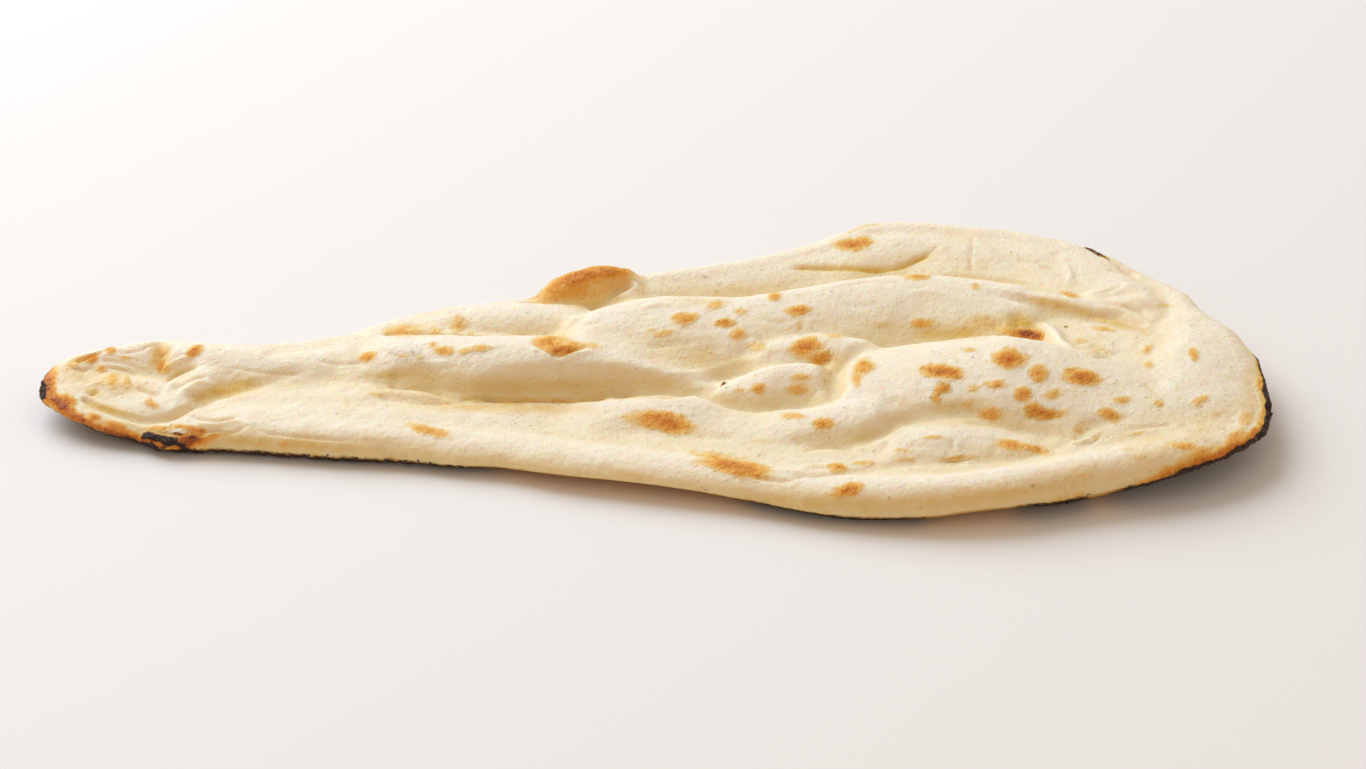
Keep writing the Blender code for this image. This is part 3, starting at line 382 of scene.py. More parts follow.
# Toasted spots in the photograph's pixels: centre u and v, width, height, turn in degrees
# (counter-clockwise) and how far they are browned, from 0 to 1
TOASTED_SPOTS = (
    (534, 399, 140, 4, 0, 0.45), (985, 324, 40, 15, -4, 0.25), (1014, 333, 30, 10, -12, 0.55),
    (1027, 334, 26, 10, -10, 0.95), (1036, 335, 14, 9, -20, 0.85), (500, 402, 50, 4, -4, 0.50),
    (1235, 437, 20, 12, 30, 0.55), (1200, 452, 44, 12, 20, 0.45), (1085, 476, 20, 8, 0, 0.28),
    (1245, 418, 16, 14, 40, 0.40), (48, 384, 14, 36, 8, 0.90), (58, 404, 28, 14, -38, 0.95),
    (67, 399, 17, 10, -15, 0.90), (76, 416, 34, 8, -30, 0.80), (94, 417, 12, 8, -20, 0.85),
    (118, 427, 26, 8, -18, 0.65), (106, 429, 80, 8, -20, 0.65), (52, 372, 12, 16, -30, 0.50),
    (91, 358, 15, 8, 25, 0.85), (101, 369, 9, 9, 0, 0.60), (112, 380, 14, 11, 40, 0.50),
    (126, 382, 8, 12, 0, 0.45), (110, 350, 11, 8, 0, 0.60), (125, 358, 12, 6, 0, 0.35),
    (75, 362, 26, 9, 32, 0.35), (193, 351, 17, 9, 25, 0.95), (162, 366, 11, 11, 0, 0.65),
    (160, 358, 22, 26, 0, 0.35), (152, 404, 17, 9, -30, 0.50), (192, 429, 36, 5, -10, 0.90),
    (158, 428, 30, 5, 0, 0.55), (216, 436, 40, 5, 12, 0.60), (205, 441, 26, 10, 10, 0.50),
    (186, 441, 26, 14, 14, 0.95), (258, 444, 9, 6, 0, 0.45), (284, 444, 11, 9, 0, 0.50),
    (315, 455, 10, 5, 0, 0.35), (337, 450, 10, 5, 0, 0.30), (390, 459, 20, 5, 0, 0.35),
    (367, 357, 16, 8, 14, 0.80), (432, 345, 9, 6, 0, 0.45), (443, 351, 19, 9, 0, 0.70),
    (480, 348, 22, 7, 4, 0.50), (464, 351, 12, 6, 20, 0.35), (403, 356, 12, 4, 0, 0.35),
    (420, 358, 9, 3, 0, 0.45), (400, 331, 34, 11, 2, 0.45), (458, 324, 16, 16, 20, 0.50),
    (436, 332, 14, 9, 0, 0.35), (470, 333, 9, 5, 0, 0.30), (548, 344, 24, 11, -18, 0.80),
    (568, 350, 20, 10, 12, 0.90), (556, 351, 14, 7, 0, 0.70), (590, 346, 24, 8, 0, 0.35),
    (556, 341, 40, 10, 0, 0.40), (505, 375, 16, 6, 0, 0.25), (427, 430, 42, 10, -14, 0.60),
    (375, 394, 18, 5, 0, 0.25), (385, 372, 12, 6, 0, 0.22), (683, 318, 22, 12, 8, 0.80),
    (665, 333, 20, 7, 10, 0.50), (650, 330, 12, 5, 0, 0.30), (724, 323, 18, 8, 0, 0.85),
    (737, 335, 16, 12, 0, 0.55), (715, 305, 18, 8, 12, 0.40), (740, 312, 12, 6, 0, 0.30),
    (774, 297, 12, 8, 0, 0.65), (797, 310, 22, 10, 8, 0.75), (798, 326, 8, 14, 0, 0.28),
    (757, 347, 20, 9, 0, 0.30), (806, 347, 28, 17, 15, 0.95), (821, 358, 24, 14, 0, 0.75),
    (835, 336, 26, 6, 0, 0.30), (800, 378, 22, 9, 0, 0.38), (798, 390, 20, 10, 0, 0.60),
    (757, 388, 15, 11, 0, 0.70), (740, 390, 14, 6, 0, 0.30), (672, 423, 42, 18, -6, 0.90),
    (648, 417, 46, 14, 0, 0.55), (732, 466, 64, 17, -12, 0.95), (795, 416, 24, 7, 0, 0.45),
    (823, 424, 22, 11, 0, 0.75), (838, 468, 18, 10, 0, 0.80), (863, 463, 20, 5, 0, 0.45),
    (846, 490, 30, 12, 12, 0.85), (850, 245, 32, 11, 0, 1.00), (862, 241, 18, 8, 10, 0.40),
    (917, 276, 24, 9, 0, 0.70), (975, 286, 12, 7, 0, 0.35), (922, 323, 26, 8, 0, 0.65),
    (880, 326, 18, 7, 0, 0.15), (863, 367, 20, 15, 20, 0.65), (856, 380, 9, 18, 12, 0.50),
    (940, 371, 36, 13, -4, 0.95), (954, 374, 16, 9, -12, 0.75), (943, 388, 16, 10, 0, 0.80),
    (936, 397, 9, 14, 22, 0.50), (968, 350, 15, 5, 0, 0.45), (1010, 358, 30, 17, 0, 0.95),
    (1038, 375, 18, 17, 30, 0.65), (1080, 377, 32, 15, -8, 0.95), (995, 384, 20, 9, 0, 0.65),
    (973, 388, 12, 8, 0, 0.35), (968, 405, 14, 8, 0, 0.40), (990, 414, 27, 12, -8, 0.80),
    (1023, 395, 16, 13, 0, 0.80), (1052, 394, 22, 11, 10, 0.45), (1032, 408, 18, 12, 0, 0.75),
    (1044, 414, 34, 11, 0, 0.85), (932, 437, 24, 5, 0, 0.45), (958, 458, 34, 4, 4, 0.60),
    (1012, 445, 30, 9, -10, 0.75), (1034, 450, 34, 8, -16, 0.50), (902, 450, 20, 6, 0, 0.30),
    (905, 459, 16, 5, 0, 0.35), (1110, 414, 22, 12, -18, 0.80), (1122, 400, 18, 8, 0, 0.50),
    (1078, 430, 11, 10, 0, 0.40), (1095, 438, 9, 6, 0, 0.25), (1193, 355, 9, 13, 30, 0.55),
    (1201, 400, 16, 9, 24, 0.50), (1147, 350, 14, 8, 40, 0.40), (1148, 364, 9, 6, 0, 0.40),
    (1158, 404, 10, 7, 0, 0.45), (1137, 433, 16, 4, 10, 0.30), (1182, 446, 30, 9, 0, 0.55),
    (1140, 457, 12, 5, 0, 0.30), (1070, 295, 18, 6, -14, 0.55), (1104, 329, 24, 5, -4, 0.45),
    (1163, 305, 14, 5, 0, 0.35), (1215, 414, 12, 8, 0, 0.22), (892, 500, 12, 6, 0, 0.22),
    (1080, 340, 20, 6, 0, 0.25), (1126, 449, 14, 5, 0, 0.22),
)

# The browned blister on the far rim, in the same form
BLISTER_SPOTS = (
    (592, 281, 92, 32, 8, 0.36), (596, 273, 76, 14, 8, 0.60), (574, 282, 36, 14, 16, 0.25),
    (560, 291, 60, 18, 20, 0.35), (535, 295, 18, 6, 18, 0.30), (585, 298, 60, 12, 6, 0.20),
)

# Patches coloured golden toward the crumb, in the same form: some are thin skin over damp crumb, many are
# painted shade in hollows, on shaded faces and along the near rim, and the long band at the foot of the long
# roll is a painted shadow
THIN_SKIN_AND_SHADE_SPOTS = (
    (588, 302, 50, 14, 6, 0.60), (642, 288, 16, 22, 0, 0.50), (960, 333, 90, 14, 4, 0.75),
    (80, 378, 60, 36, 0, 0.30), (240, 389, 60, 14, 12, 0.45), (1030, 332, 24, 14, -20, 0.9),
    (1085, 470, 130, 22, 8, 0.35), (1160, 452, 90, 26, 22, 0.35), (1210, 425, 70, 44, 40, 0.35),
    (1250, 400, 26, 60, 0, 0.45), (700, 362, 90, 20, 4, 0.30), (700, 302, 60, 12, 0, 0.25),
    (1080, 312, 80, 14, -14, 0.40), (985, 322, 40, 17, -4, 0.70), (1018, 323, 44, 26, -10, 1.00),
    (1012, 332, 34, 14, -10, 0.90), (880, 326, 30, 9, 0, 0.45), (925, 328, 80, 20, 0, 0.40),
    (92, 391, 24, 10, -15, 0.70), (163, 358, 20, 28, 0, 0.75), (228, 388, 70, 16, 12, 0.80),
    (205, 396, 24, 14, 30, 0.45), (110, 412, 70, 8, -12, 0.30), (130, 386, 60, 20, -10, 0.22),
    (405, 330, 46, 14, 2, 0.60), (458, 324, 24, 16, 0, 0.45), (430, 312, 60, 10, 4, 0.20),
    (500, 388, 220, 18, 0, 0.30), (400, 390, 80, 16, -2, 0.30), (757, 347, 24, 12, 0, 0.45),
    (685, 352, 100, 34, 0, 0.28), (765, 441, 30, 6, 0, 0.40), (960, 333, 80, 16, 2, 0.30),
    (900, 402, 30, 9, 0, 0.40), (950, 405, 90, 18, 4, 0.25), (960, 236, 70, 14, 0, 0.15),
    (1050, 303, 70, 10, -12, 0.75), (1115, 322, 80, 12, -16, 0.60), (860, 276, 60, 8, 4, 0.25),
    (730, 290, 110, 14, 4, 0.35), (1095, 352, 34, 14, 0, 0.35), (1098, 338, 26, 8, 0, 0.30),
    (700, 303, 60, 8, 0, 0.20), (820, 340, 40, 8, 0, 0.25), (1150, 430, 90, 30, 20, 0.18),
    (870, 437, 80, 14, 10, 0.35), (1000, 425, 100, 12, -4, 0.25), (1160, 312, 20, 30, 0, 0.25),
    (1140, 300, 50, 24, -20, 0.20), (1140, 268, 40, 12, -24, 0.18), (340, 358, 60, 14, 6, 0.15),
    (100, 427, 80, 16, -20, 0.45), (235, 443, 50, 10, 4, 0.30), (70, 372, 30, 20, 30, 0.25),
    (610, 300, 60, 9, 6, 0.40), (560, 384, 40, 8, 0, 0.20), (840, 503, 260, 18, -2, 0.42),
    (985, 494, 200, 22, 6, 0.45), (285, 443, 180, 13, -4, 0.50), (118, 386, 66, 22, -8, 0.50),
    (108, 409, 62, 9, -14, 0.60), (505, 408, 190, 13, -1, 0.60), (610, 395, 60, 6, 0, 0.50),
    (385, 376, 54, 11, 0, 0.45), (450, 376, 90, 10, -2, 0.30), (440, 395, 60, 8, 0, 0.35),
    (836, 362, 26, 22, 0, 0.45), (935, 424, 80, 6, 0, 0.30), (1150, 441, 60, 14, 20, 0.30),
    (380, 441, 80, 8, -5, 0.30), (620, 471, 80, 8, -12, 0.30),
)

# Patches browned darker than the rest, in the same form
SCORCHED_SPOTS = (
    (47, 384, 14, 32, 8, 0.70), (60, 403, 28, 12, -38, 0.90), (96, 426, 72, 9, -20, 0.90),
    (186, 440, 30, 14, 14, 0.90), (160, 437, 40, 12, -6, 0.80), (1030, 334, 28, 9, -10, 0.95),
    (592, 274, 56, 8, 8, 0.25), (940, 371, 22, 6, -4, 0.25), (1212, 455, 50, 8, 20, 0.45),
    (556, 350, 26, 6, 0, 0.30), (1261, 382, 10, 44, 8, 0.60),
)

# Charred patches in the same form
CHARRED_SPOTS = (
    (42, 388, 7, 22, 8, 0.90), (147, 435, 12, 6, 20, 0.62), (158, 438, 20, 7, -8, 0.72),
    (171, 441, 16, 8, 10, 0.60), (184, 446, 14, 5, -20, 0.55), (178, 434, 12, 3, -10, 0.50),
    (190, 438, 12, 5, 20, 0.40), (724, 384, 4, 3, 0, 0.60), (1066, 327, 3, 2, 0, 0.40),
    (1096, 253, 26, 3, -28, 0.50),
)

# Bake of each edge's rolled side: (x, browning, char, how high up the roll it reaches in degrees, 0 is the
# outline itself, below 0 is under it)
# Along the near edge the char under the outline is partly real char and partly a painted contact shadow
NEAR_EDGE_BAKE_AND_SHADOW = (
    (-0.2048, 0.9, 1.0, 6), (-0.2015, 0.8, 0.7, -4), (-0.196, 0.6, 0.45, -18), (-0.188, 0.8, 0.75, -18),
    (-0.180, 0.8, 0.85, -12), (-0.1755, 0.9, 0.90, -8), (-0.171, 1.0, 0.95, 5), (-0.160, 1.0, 0.90, 7),
    (-0.155, 0.9, 0.9, -6), (-0.149, 0.7, 0.85, -23), (-0.120, 0.6, 0.80, -26), (-0.090, 0.6, 0.80, -27),
    (-0.060, 0.5, 0.60, -30), (-0.040, 0.5, 0.1, -46), (0.000, 0.4, 0.0, -46), (0.025, 0.5, 0.1, -42),
    (0.036, 0.8, 0.60, -28), (0.050, 0.8, 0.70, -24), (0.080, 0.8, 0.60, -28), (0.092, 0.5, 0.1, -44),
    (0.112, 0.4, 0.0, -46), (0.118, 0.7, 0.4, -36), (0.126, 0.9, 1.0, -16), (0.136, 0.9, 1.0, -14),
    (0.143, 0.5, 0.1, -42), (0.153, 0.7, 0.8, -18), (0.163, 0.9, 1.0, 2), (0.174, 1.0, 1.0, 14),
    (0.186, 1.0, 1.0, 22), (0.196, 0.9, 1.0, 34), (0.202, 0.4, 1.0, 42), (0.2050, 0.15, 1.0, 42),
)
FAR_EDGE_BAKE = (
    (-0.2048, 0.9, 1.0, 10), (-0.203, 0.7, 0.7, 6), (-0.198, 0.5, 0.1, 0), (-0.190, 0.3, 0.0, -10),
    (-0.060, 0.3, 0.0, -30), (0.040, 0.3, 0.0, -30), (0.062, 0.6, 0.0, 14), (0.074, 0.5, 0.0, 14),
    (0.080, 0.3, 0.0, -20), (0.118, 0.3, 0.0, -20), (0.150, 0.5, 0.0, 10), (0.162, 0.5, 0.0, 10),
    (0.170, 0.3, 0.0, -20), (0.188, 0.3, 0.0, -20), (0.2005, 0.3, 0.0, -20), (0.2028, 0.3, 0.6, 10),
    (0.2040, 0.3, 0.9, 28), (0.2050, 0.15, 1.0, 40),
)

# Places where the skin has flaked, in the same form as the spots
FLAKED_SPOTS = (
    (405, 352, 40, 16, -10, 0.8), (564, 352, 34, 12, 0, 0.7), (958, 455, 40, 10, 0, 0.5),
    (1085, 440, 34, 14, 0, 0.5), (818, 354, 26, 14, 0, 0.8), (486, 401, 26, 5, 0, 1.0),
    (185, 432, 60, 6, -4, 1.0), (1100, 350, 34, 16, 0, 0.7), (1085, 378, 24, 10, 0, 0.6),
    (940, 385, 24, 20, 0, 0.6), (1040, 410, 36, 14, 0, 0.6), (480, 348, 40, 12, 10, 0.5),
)

# How each kind of spot fades: where its full core ends and where it has faded out, as shares of its half
# width, how ragged its edge is, and the seed of the raggedness
TOASTED_FADE = (0.05, 1.65, 0.34, 1)
BLISTER_FADE = (0.55, 1.42, 0.16, 4)
CHARRED_FADE = (0.70, 1.42, 0.30, 7)
THIN_FADE = (0.10, 1.42, 0.22, 10)
FLAKED_FADE = (0.40, 1.42, 0.25, 13)
SCORCHED_FADE = (0.20, 1.42, 0.25, 16)
RAGGED_WAVES = ((0.0060, 1.0), (0.0026, 0.7), (0.0014, 0.4))  # size and share of each wave of a ragged edge

# How far along the camera's ray a spot or a wrinkle takes hold, so that it stays off the crust behind it
SPOT_REACH = 0.010
REACH_BY_HEIGHT = 0.0012  # more reach for each pixel of the spot's half height
REACH_BY_WIDTH = 0.0003
SPOT_REACH_FADE = 0.004  # how softly it lets go
WRINKLE_REACH = 0.010
WRINKLE_REACH_FADE = 0.003

# The make-up of a wrinkle, in its half widths
WRINKLE_MARGIN = 5
WRINKLE_TAPER = 6  # length over which its ends run out
WRINKLE_END = 0.12  # share of the taper that is cut off at the very end
# The golden tint is painted shade in the wrinkle's groove
WRINKLE_SHADE_SPREAD = 1.5  # width of its golden tint

# The bake of the edges and the underside, by the turn of the rolled edge in degrees
BROWNING_FADE = 30
CHAR_FADE = 12
BAKE_WAVES = ((0.006, 9, 21), (0.0022, 7, 22))  # size, rise in degrees and seed of the bake line's waves
EDGE_TOAST = 0.9
SPOT_TURN = 60  # how far under the edge the spots run out
UNDER_TOAST = 0.30  # browning of the underside
UNDER_TOAST_TURN = 50  # how far under the edge it is reached
UNDER_THIN_TURN = 40  # how far under the edge the skin is thin all over
RELIEF_TURN = 75  # how far under the edge the relief runs out
RELIEF_TURN_FADE = 45  # from full relief to none
SCORCH_DEPTH = 0.5  # browning that a scorched patch adds

# Hollows and slopes
HOLLOW_CELL = 0.004  # width of the cells that heights are averaged in
HOLLOW_BLURS = ((3, 0.0026), (7, 0.0050))  # blurs of the cells, and the depth that is a full hollow then
FLANK_GAIN = 1.35  # how soon a slope counts as steep

# How the fields of the crust colour it: shares of the damp dough, of the thin skin and of the browning, the
# values between which each mask opens, and what roughens and bumps the skin
NOISE_MIDDLE = 0.5
DAMP_BASE = 0.15
# Painted shade: hollows and steep slopes are darkened toward the dough colour and crests kept paler, on top
# of the real mottled damp skin
HOLLOW_SHADE = 0.36
FLANK_SHADE = 0.36
DAMP_MOTTLE = 0.24
THIN_BASE = 0.78
THIN_MOTTLE = 0.35
TOAST_SPECKLE = 0.75
TOAST_MOTTLE = 0.60
# Each colour of the browning, and the toast at which it starts to show and covers
BROWNING = (("ochre", 0.02, 0.30), ("golden", 0.20, 0.60), ("toasted", 0.52, 1.00), ("scorched", 0.96, 1.30))
FRECKLES = (0.62, 0.80, 0.0, 0.13)  # mottle that gives freckles, and how far they are browned
MOTTLE_RANGE = (0.34, 0.66)
CHAR_RANGE = (0.15, 0.60)
ASH_SHARE = 0.45
PORE_RANGE = (0.08, 0.32)
PORE_DEPTH = 0.25
CRACK_RANGE = (0.0, 0.18)
CRACK_DEPTH = 0.6
BLOOM_RANGE = (0.56, 0.74)
BASE_ROUGHNESS = 0.60
TOAST_ROUGHNESS = -0.16
MOTTLE_ROUGHNESS = 0.10
BASE_BUMP = 0.50
TOAST_BUMP = 1.1
FLAKED_BUMP = 1.2
CHAR_BUMP = 2.2
BUMP_HEIGHT = 0.0012
FLAKE_ROUGHNESS = (0.3, 1.1, 0.75, 0.45)  # height of the crackle, and how rough a char flake is there

# How noise becomes relief
SWELL_GAIN = 2.0  # the noise runs from about -0.5 to 0.5
CRINKLE_LEVEL = 0.12  # noise under this, either side of zero, stands up as a fine fold
DRY_PATCH_SIZE = 0.03
DRY_PATCHES = (0.0, 0.16, 0.0, 0.5)  # noise that makes a dry patch, and how crinkled it is
SCORCH_PUCKER = 1.5  # how much the puckers break up the lift of a browned spot
CRUMPLE_SIZE = 0.7  # width of the crumples, as a share of the puckers' width
CRUMPLE_SLOPE = -4.0
CRUMPLE_LEVEL = 0.4
RELIEF_SEED = 3.0

# Each input of the relief, and the setting of the form that fills it
RELIEF_SIZES = {
    "Bubble Size": "bubble_size", "Bubble Height": "bubble_height", "Grain Size": "grain_size",
    "Grain Height": "grain_height", "Crinkle Size": "crinkle_size", "Crinkle Height": "crinkle_height",
    "Scorch Lift": "scorch_lift", "Char Crumple": "char_crumple",
}

# The scraps: proportions and tilt of a chip, how far it is turned, curled and narrowed, the field that it
# grows in and its least and greatest size
CHAR_CHIP = (1.0, 0.7, 0.12)
CHAR_TILT = 0.5
SKIN_CHIP = (1.0, 0.6, 0.07)
SKIN_TILT = 0.10
CHIP_TURN = 6.28  # a full turn, in radians
CHIP_CURL = 0.7
CHIP_NARROWING = -0.9
CHIP_MASK = (0.45, 0.9)
CHIP_SIZES = (0.4, 1.3)

# The stage
TABLE_HALF = 6.0
TABLE_DROP = -0.0002  # keeps the table just clear of the underside
GLOW_HEIGHT = 0.32  # sine of the height at which the light from above takes over
KEY_PLACE = (-1.15, 1.20, 1.60)


class NaanForm(bpy.types.PropertyGroup):
    """Sizes of the bread's form."""

    sheet_thickness: FloatProperty(
        name="Sheet thickness", description="Least thickness of the dough", default=0.0055, unit="LENGTH")
    rim_round: FloatProperty(
        name="Rim round", description="How far in from the outline the rounded edge reaches",
        default=0.0075, unit="LENGTH")
    columns: IntProperty(name="Columns", description="Columns of the grid along the bread", default=440)
    top_rows: IntProperty(name="Top rows", description="Rows of the grid across the top", default=200)
    under_rows: IntProperty(
        name="Under rows", description="Rows of the grid across the underside", default=14)
    bubble_size: FloatProperty(
        name="Bubble size", description="Width of the low swellings all over the crust", default=0.011,
        unit="LENGTH")
    bubble_height: FloatProperty(
        name="Bubble height", description="Height of the low swellings", default=0.0006, unit="LENGTH")
    grain_size: FloatProperty(
        name="Grain size", description="Width of the small puckers", default=0.0042, unit="LENGTH")
    grain_height: FloatProperty(
        name="Grain height", description="Height of the small puckers", default=0.00038, unit="LENGTH")
    crinkle_size: FloatProperty(
        name="Crinkle size", description="Width of the fine folds where the skin is wrinkled",
        default=0.0065, unit="LENGTH")
    crinkle_height: FloatProperty(
        name="Crinkle height", description="Height of the fine folds", default=0.0020, unit="LENGTH")
    wrinkle_depth: FloatProperty(
        name="Wrinkle depth", description="How strongly the named wrinkles show", default=1.6)
    scorch_lift: FloatProperty(
        name="Scorch lift", description="How far a browned spot stands up", default=0.00025, unit="LENGTH")
    char_crumple: FloatProperty(
        name="Char crumple", description="Depth of the crumpled char", default=0.0015, unit="LENGTH")


class NaanBake(bpy.types.PropertyGroup):
    """Colours of the crust, from pale dough to char."""

    cream: FloatVectorProperty(
        name="Cream", description="Dry skin on the crests", subtype="COLOR", default=(0.905, 0.81, 0.645))
    # Dough is the real damp skin and also the painted shade in the hollows and on steep slopes
    dough: FloatVectorProperty(
        name="Dough", description="Damp skin in the hollows", subtype="COLOR", default=(0.85, 0.67, 0.355))
    # Crumb is real thin skin in places and also painted shade in hollows, on shaded faces and in wrinkle
    # grooves
    crumb: FloatVectorProperty(
        name="Crumb", description="Thin skin over damp crumb", subtype="COLOR", default=(0.73, 0.46, 0.075))
    ochre: FloatVectorProperty(
        name="Ochre", description="Skin just turning", subtype="COLOR", default=(0.86, 0.60, 0.23))
    golden: FloatVectorProperty(
        name="Golden", description="Lightly toasted skin", subtype="COLOR", default=(0.86, 0.42, 0.06))
    toasted: FloatVectorProperty(
        name="Toasted", description="Browned skin", subtype="COLOR", default=(0.72, 0.235, 0.012))
    scorched: FloatVectorProperty(
        name="Scorched", description="Dark brown skin", subtype="COLOR", default=(0.42, 0.105, 0.012))
    char: FloatVectorProperty(
        name="Char", description="Burnt skin", subtype="COLOR", default=(0.055, 0.026, 0.020))
    ash: FloatVectorProperty(
        name="Ash", description="Grey bloom on the char", subtype="COLOR", default=(0.34, 0.28, 0.26))


class NaanScraps(bpy.types.PropertyGroup):
    """Sizes of the loose skin and char."""

    char_size: FloatProperty(
        name="Char flake size", description="Length of a char flake", default=0.0012, unit="LENGTH")
    char_density: FloatProperty(
        name="Char flake density", description="Flakes for each square metre of char", default=110000.0)
    skin_size: FloatProperty(
        name="Skin flake size", description="Length of a lifted bit of skin", default=0.0012, unit="LENGTH")
    skin_density: FloatProperty(
        name="Skin flake density", description="Bits for each square metre of flaked skin", default=60000.0)
    seed: IntProperty(name="Seed", description="Seed of the random places", default=7)


class NaanStage(bpy.types.PropertyGroup):
    """The pale table top and the studio light."""

    table_colour: FloatVectorProperty(
        name="Table colour", description="Colour of the table top", subtype="COLOR",
        default=(0.858, 0.826, 0.806))
    key_power: FloatProperty(
        name="Key power", description="Power of the soft key light", default=55.5, unit="POWER")
    key_size: FloatProperty(
        name="Key size", description="Width of the key light", default=2.3, unit="LENGTH")
    key_colour: FloatVectorProperty(
        name="Key colour", description="Colour of the key light", subtype="COLOR", default=(0.74, 0.87, 1.0))
    low_colour: FloatVectorProperty(
        name="Low colour", description="Colour of the light near the horizon", subtype="COLOR",
        default=(1.0, 0.55, 0.225))
    high_colour: FloatVectorProperty(
        name="High colour", description="Colour of the light from above", subtype="COLOR",
        default=(1.0, 0.86, 0.72))
    fill: FloatProperty(name="Fill", description="Strength of the light from all round", default=0.60)


def smooth_line(points):
    """Samples of the Catmull-Rom curve through the points, with the same easing for each coordinate."""
    knots = np.array(points, float)
    knots = np.vstack([2 * knots[0] - knots[1], knots, 2 * knots[-1] - knots[-2]])
    step = np.linspace(0, 1, SMOOTH_STEPS, endpoint=False)[:, None]
    pieces = []
    for before, start, end, after in zip(knots, knots[1:], knots[2:], knots[3:]):
        slope = (end - before) / 2
        bend = before - 2.5 * start + 2 * end - after / 2
        twist = (after - before) / 2 + 1.5 * (start - end)
        pieces.append(start + slope * step + bend * step**2 + twist * step**3)
    return np.vstack(pieces + [knots[-2:-1]])


def share_at(x):
    """Where x lies between the two tips, from 0 to 1, spread so that the round ends get more columns."""
    return np.arccos(np.clip(1 - 2 * (x - TAIL_TIP_X) / LENGTH, -1, 1)) / np.pi


def x_at(share):
    """The x of a share of the length."""
    return TAIL_TIP_X + LENGTH * (1 - np.cos(np.pi * share)) / 2


def edge_curve(points):
    """A function that gives an edge's y for a share of the length."""
    line = smooth_line([(share_at(x) * LENGTH, y) for x, y in points])
    return lambda share: np.interp(share * LENGTH, line[:, 0], line[:, 1])


def value_along(points, column):
    """A function that gives a smoothly eased value for x from rows of (x, values)."""
    line = smooth_line([(row[0], row[column]) for row in points])
    return lambda x: np.interp(x, line[:, 0], line[:, 1])


def nearest_on(line, x, y):
    """For each point, the distance to a line, which side it is on (-1 to 1) and the line's height there."""
    best = np.full(x.shape, np.inf)
    side = np.zeros(x.shape)
    height = np.zeros(x.shape)
    for start, end in zip(line, line[1:]):
        run = end[:2] - start[:2]
        length = np.hypot(*run)
        if length == 0:
            continue
        share = ((x - start[0]) * run[0] + (y - start[1]) * run[1]) / length**2
        share = np.clip(share, 0, 1)
        off_x = x - start[0] - share * run[0]
        off_y = y - start[1] - share * run[1]
        distance = np.hypot(off_x, off_y)
        closer = distance < best
        turn = (run[0] * off_y - run[1] * off_x) / (length * np.maximum(distance, 1e-9))
        best = np.where(closer, distance, best)
        side = np.where(closer, turn, side)
        height = np.where(closer, start[2] + share * (end[2] - start[2]), height)
    return best, side, height


def close_to(line, margin, x, y):
    """Which points lie within a margin of a line's box."""
    low = line[:, :2].min(axis=0) - margin
    high = line[:, :2].max(axis=0) + margin
    return (x > low[0]) & (x < high[0]) & (y > low[1]) & (y < high[1])


def smooth_max(first, second, blend):
    """The higher of two heights, run into each other."""
    overlap = np.maximum(blend - np.abs(first - second), 0) / blend
    return np.maximum(first, second) + overlap**2 * blend / 4


def smooth_min(first, second, blend):
    """The lower of two heights, run into each other."""
    return -smooth_max(-first, -second, blend)


def eased(value):
    """0 to 1 with level ends."""
    value = np.clip(value, 0, 1)
    return value * value * (3 - 2 * value)


def raise_fold(top, x, y, fold):
    """Runs one fold into the top where it stands higher."""
    _, foot, right_reach, left_reach, end_reach, roundness, crest = fold
    line = smooth_line(crest)
    near = close_to(line, FOLD_MARGIN * max(right_reach, left_reach, end_reach), x, y)
    distance, side, height = nearest_on(line, x[near], y[near])
    width = end_reach + (np.where(side > 0, left_reach, right_reach) - end_reach) * side**2
    reach = distance / width
    inside = np.maximum(1 - reach**2, 0) ** roundness
    outside = np.maximum(reach - 1, 0) * FOLD_OUTER_FALL
    top[near] = smooth_max(top[near], foot + (height - foot) * (inside - outside), FOLD_BLEND)


def cut_crease(top, x, y, crease):
    """Cuts one crease into the top where it lies lower."""
    _, half_width, floor = crease
    line = smooth_line(floor)
    near = close_to(line, FOLD_MARGIN * half_width, x, y)
    distance, _, height = nearest_on(line, x[near], y[near])
    top[near] = smooth_min(top[near], height + CREASE_RISE * (distance / half_width) ** 2, CREASE_BLEND)


def outline_distance(x, y, near_edge, far_edge, columns):
    """Distance of each point to the outline, exact up to the reach of the edge's lift."""
    share = np.linspace(0, 1, 2 * columns + 1)
    run = x_at(share)
    distance = np.full(x.shape, LIFT_REACH)
    for edge in (near_edge, far_edge):
        line = np.column_stack([run, edge(share), run * 0])
        for first in range(0, x.shape[0], SEARCH_ROWS):
            rows = slice(first, first + SEARCH_ROWS)
            inside = (run > x[rows].min() - LIFT_REACH) & (run < x[rows].max() + LIFT_REACH)
            distance[rows] = np.minimum(distance[rows], nearest_on(line[inside], x[rows], y[rows])[0])
    return distance


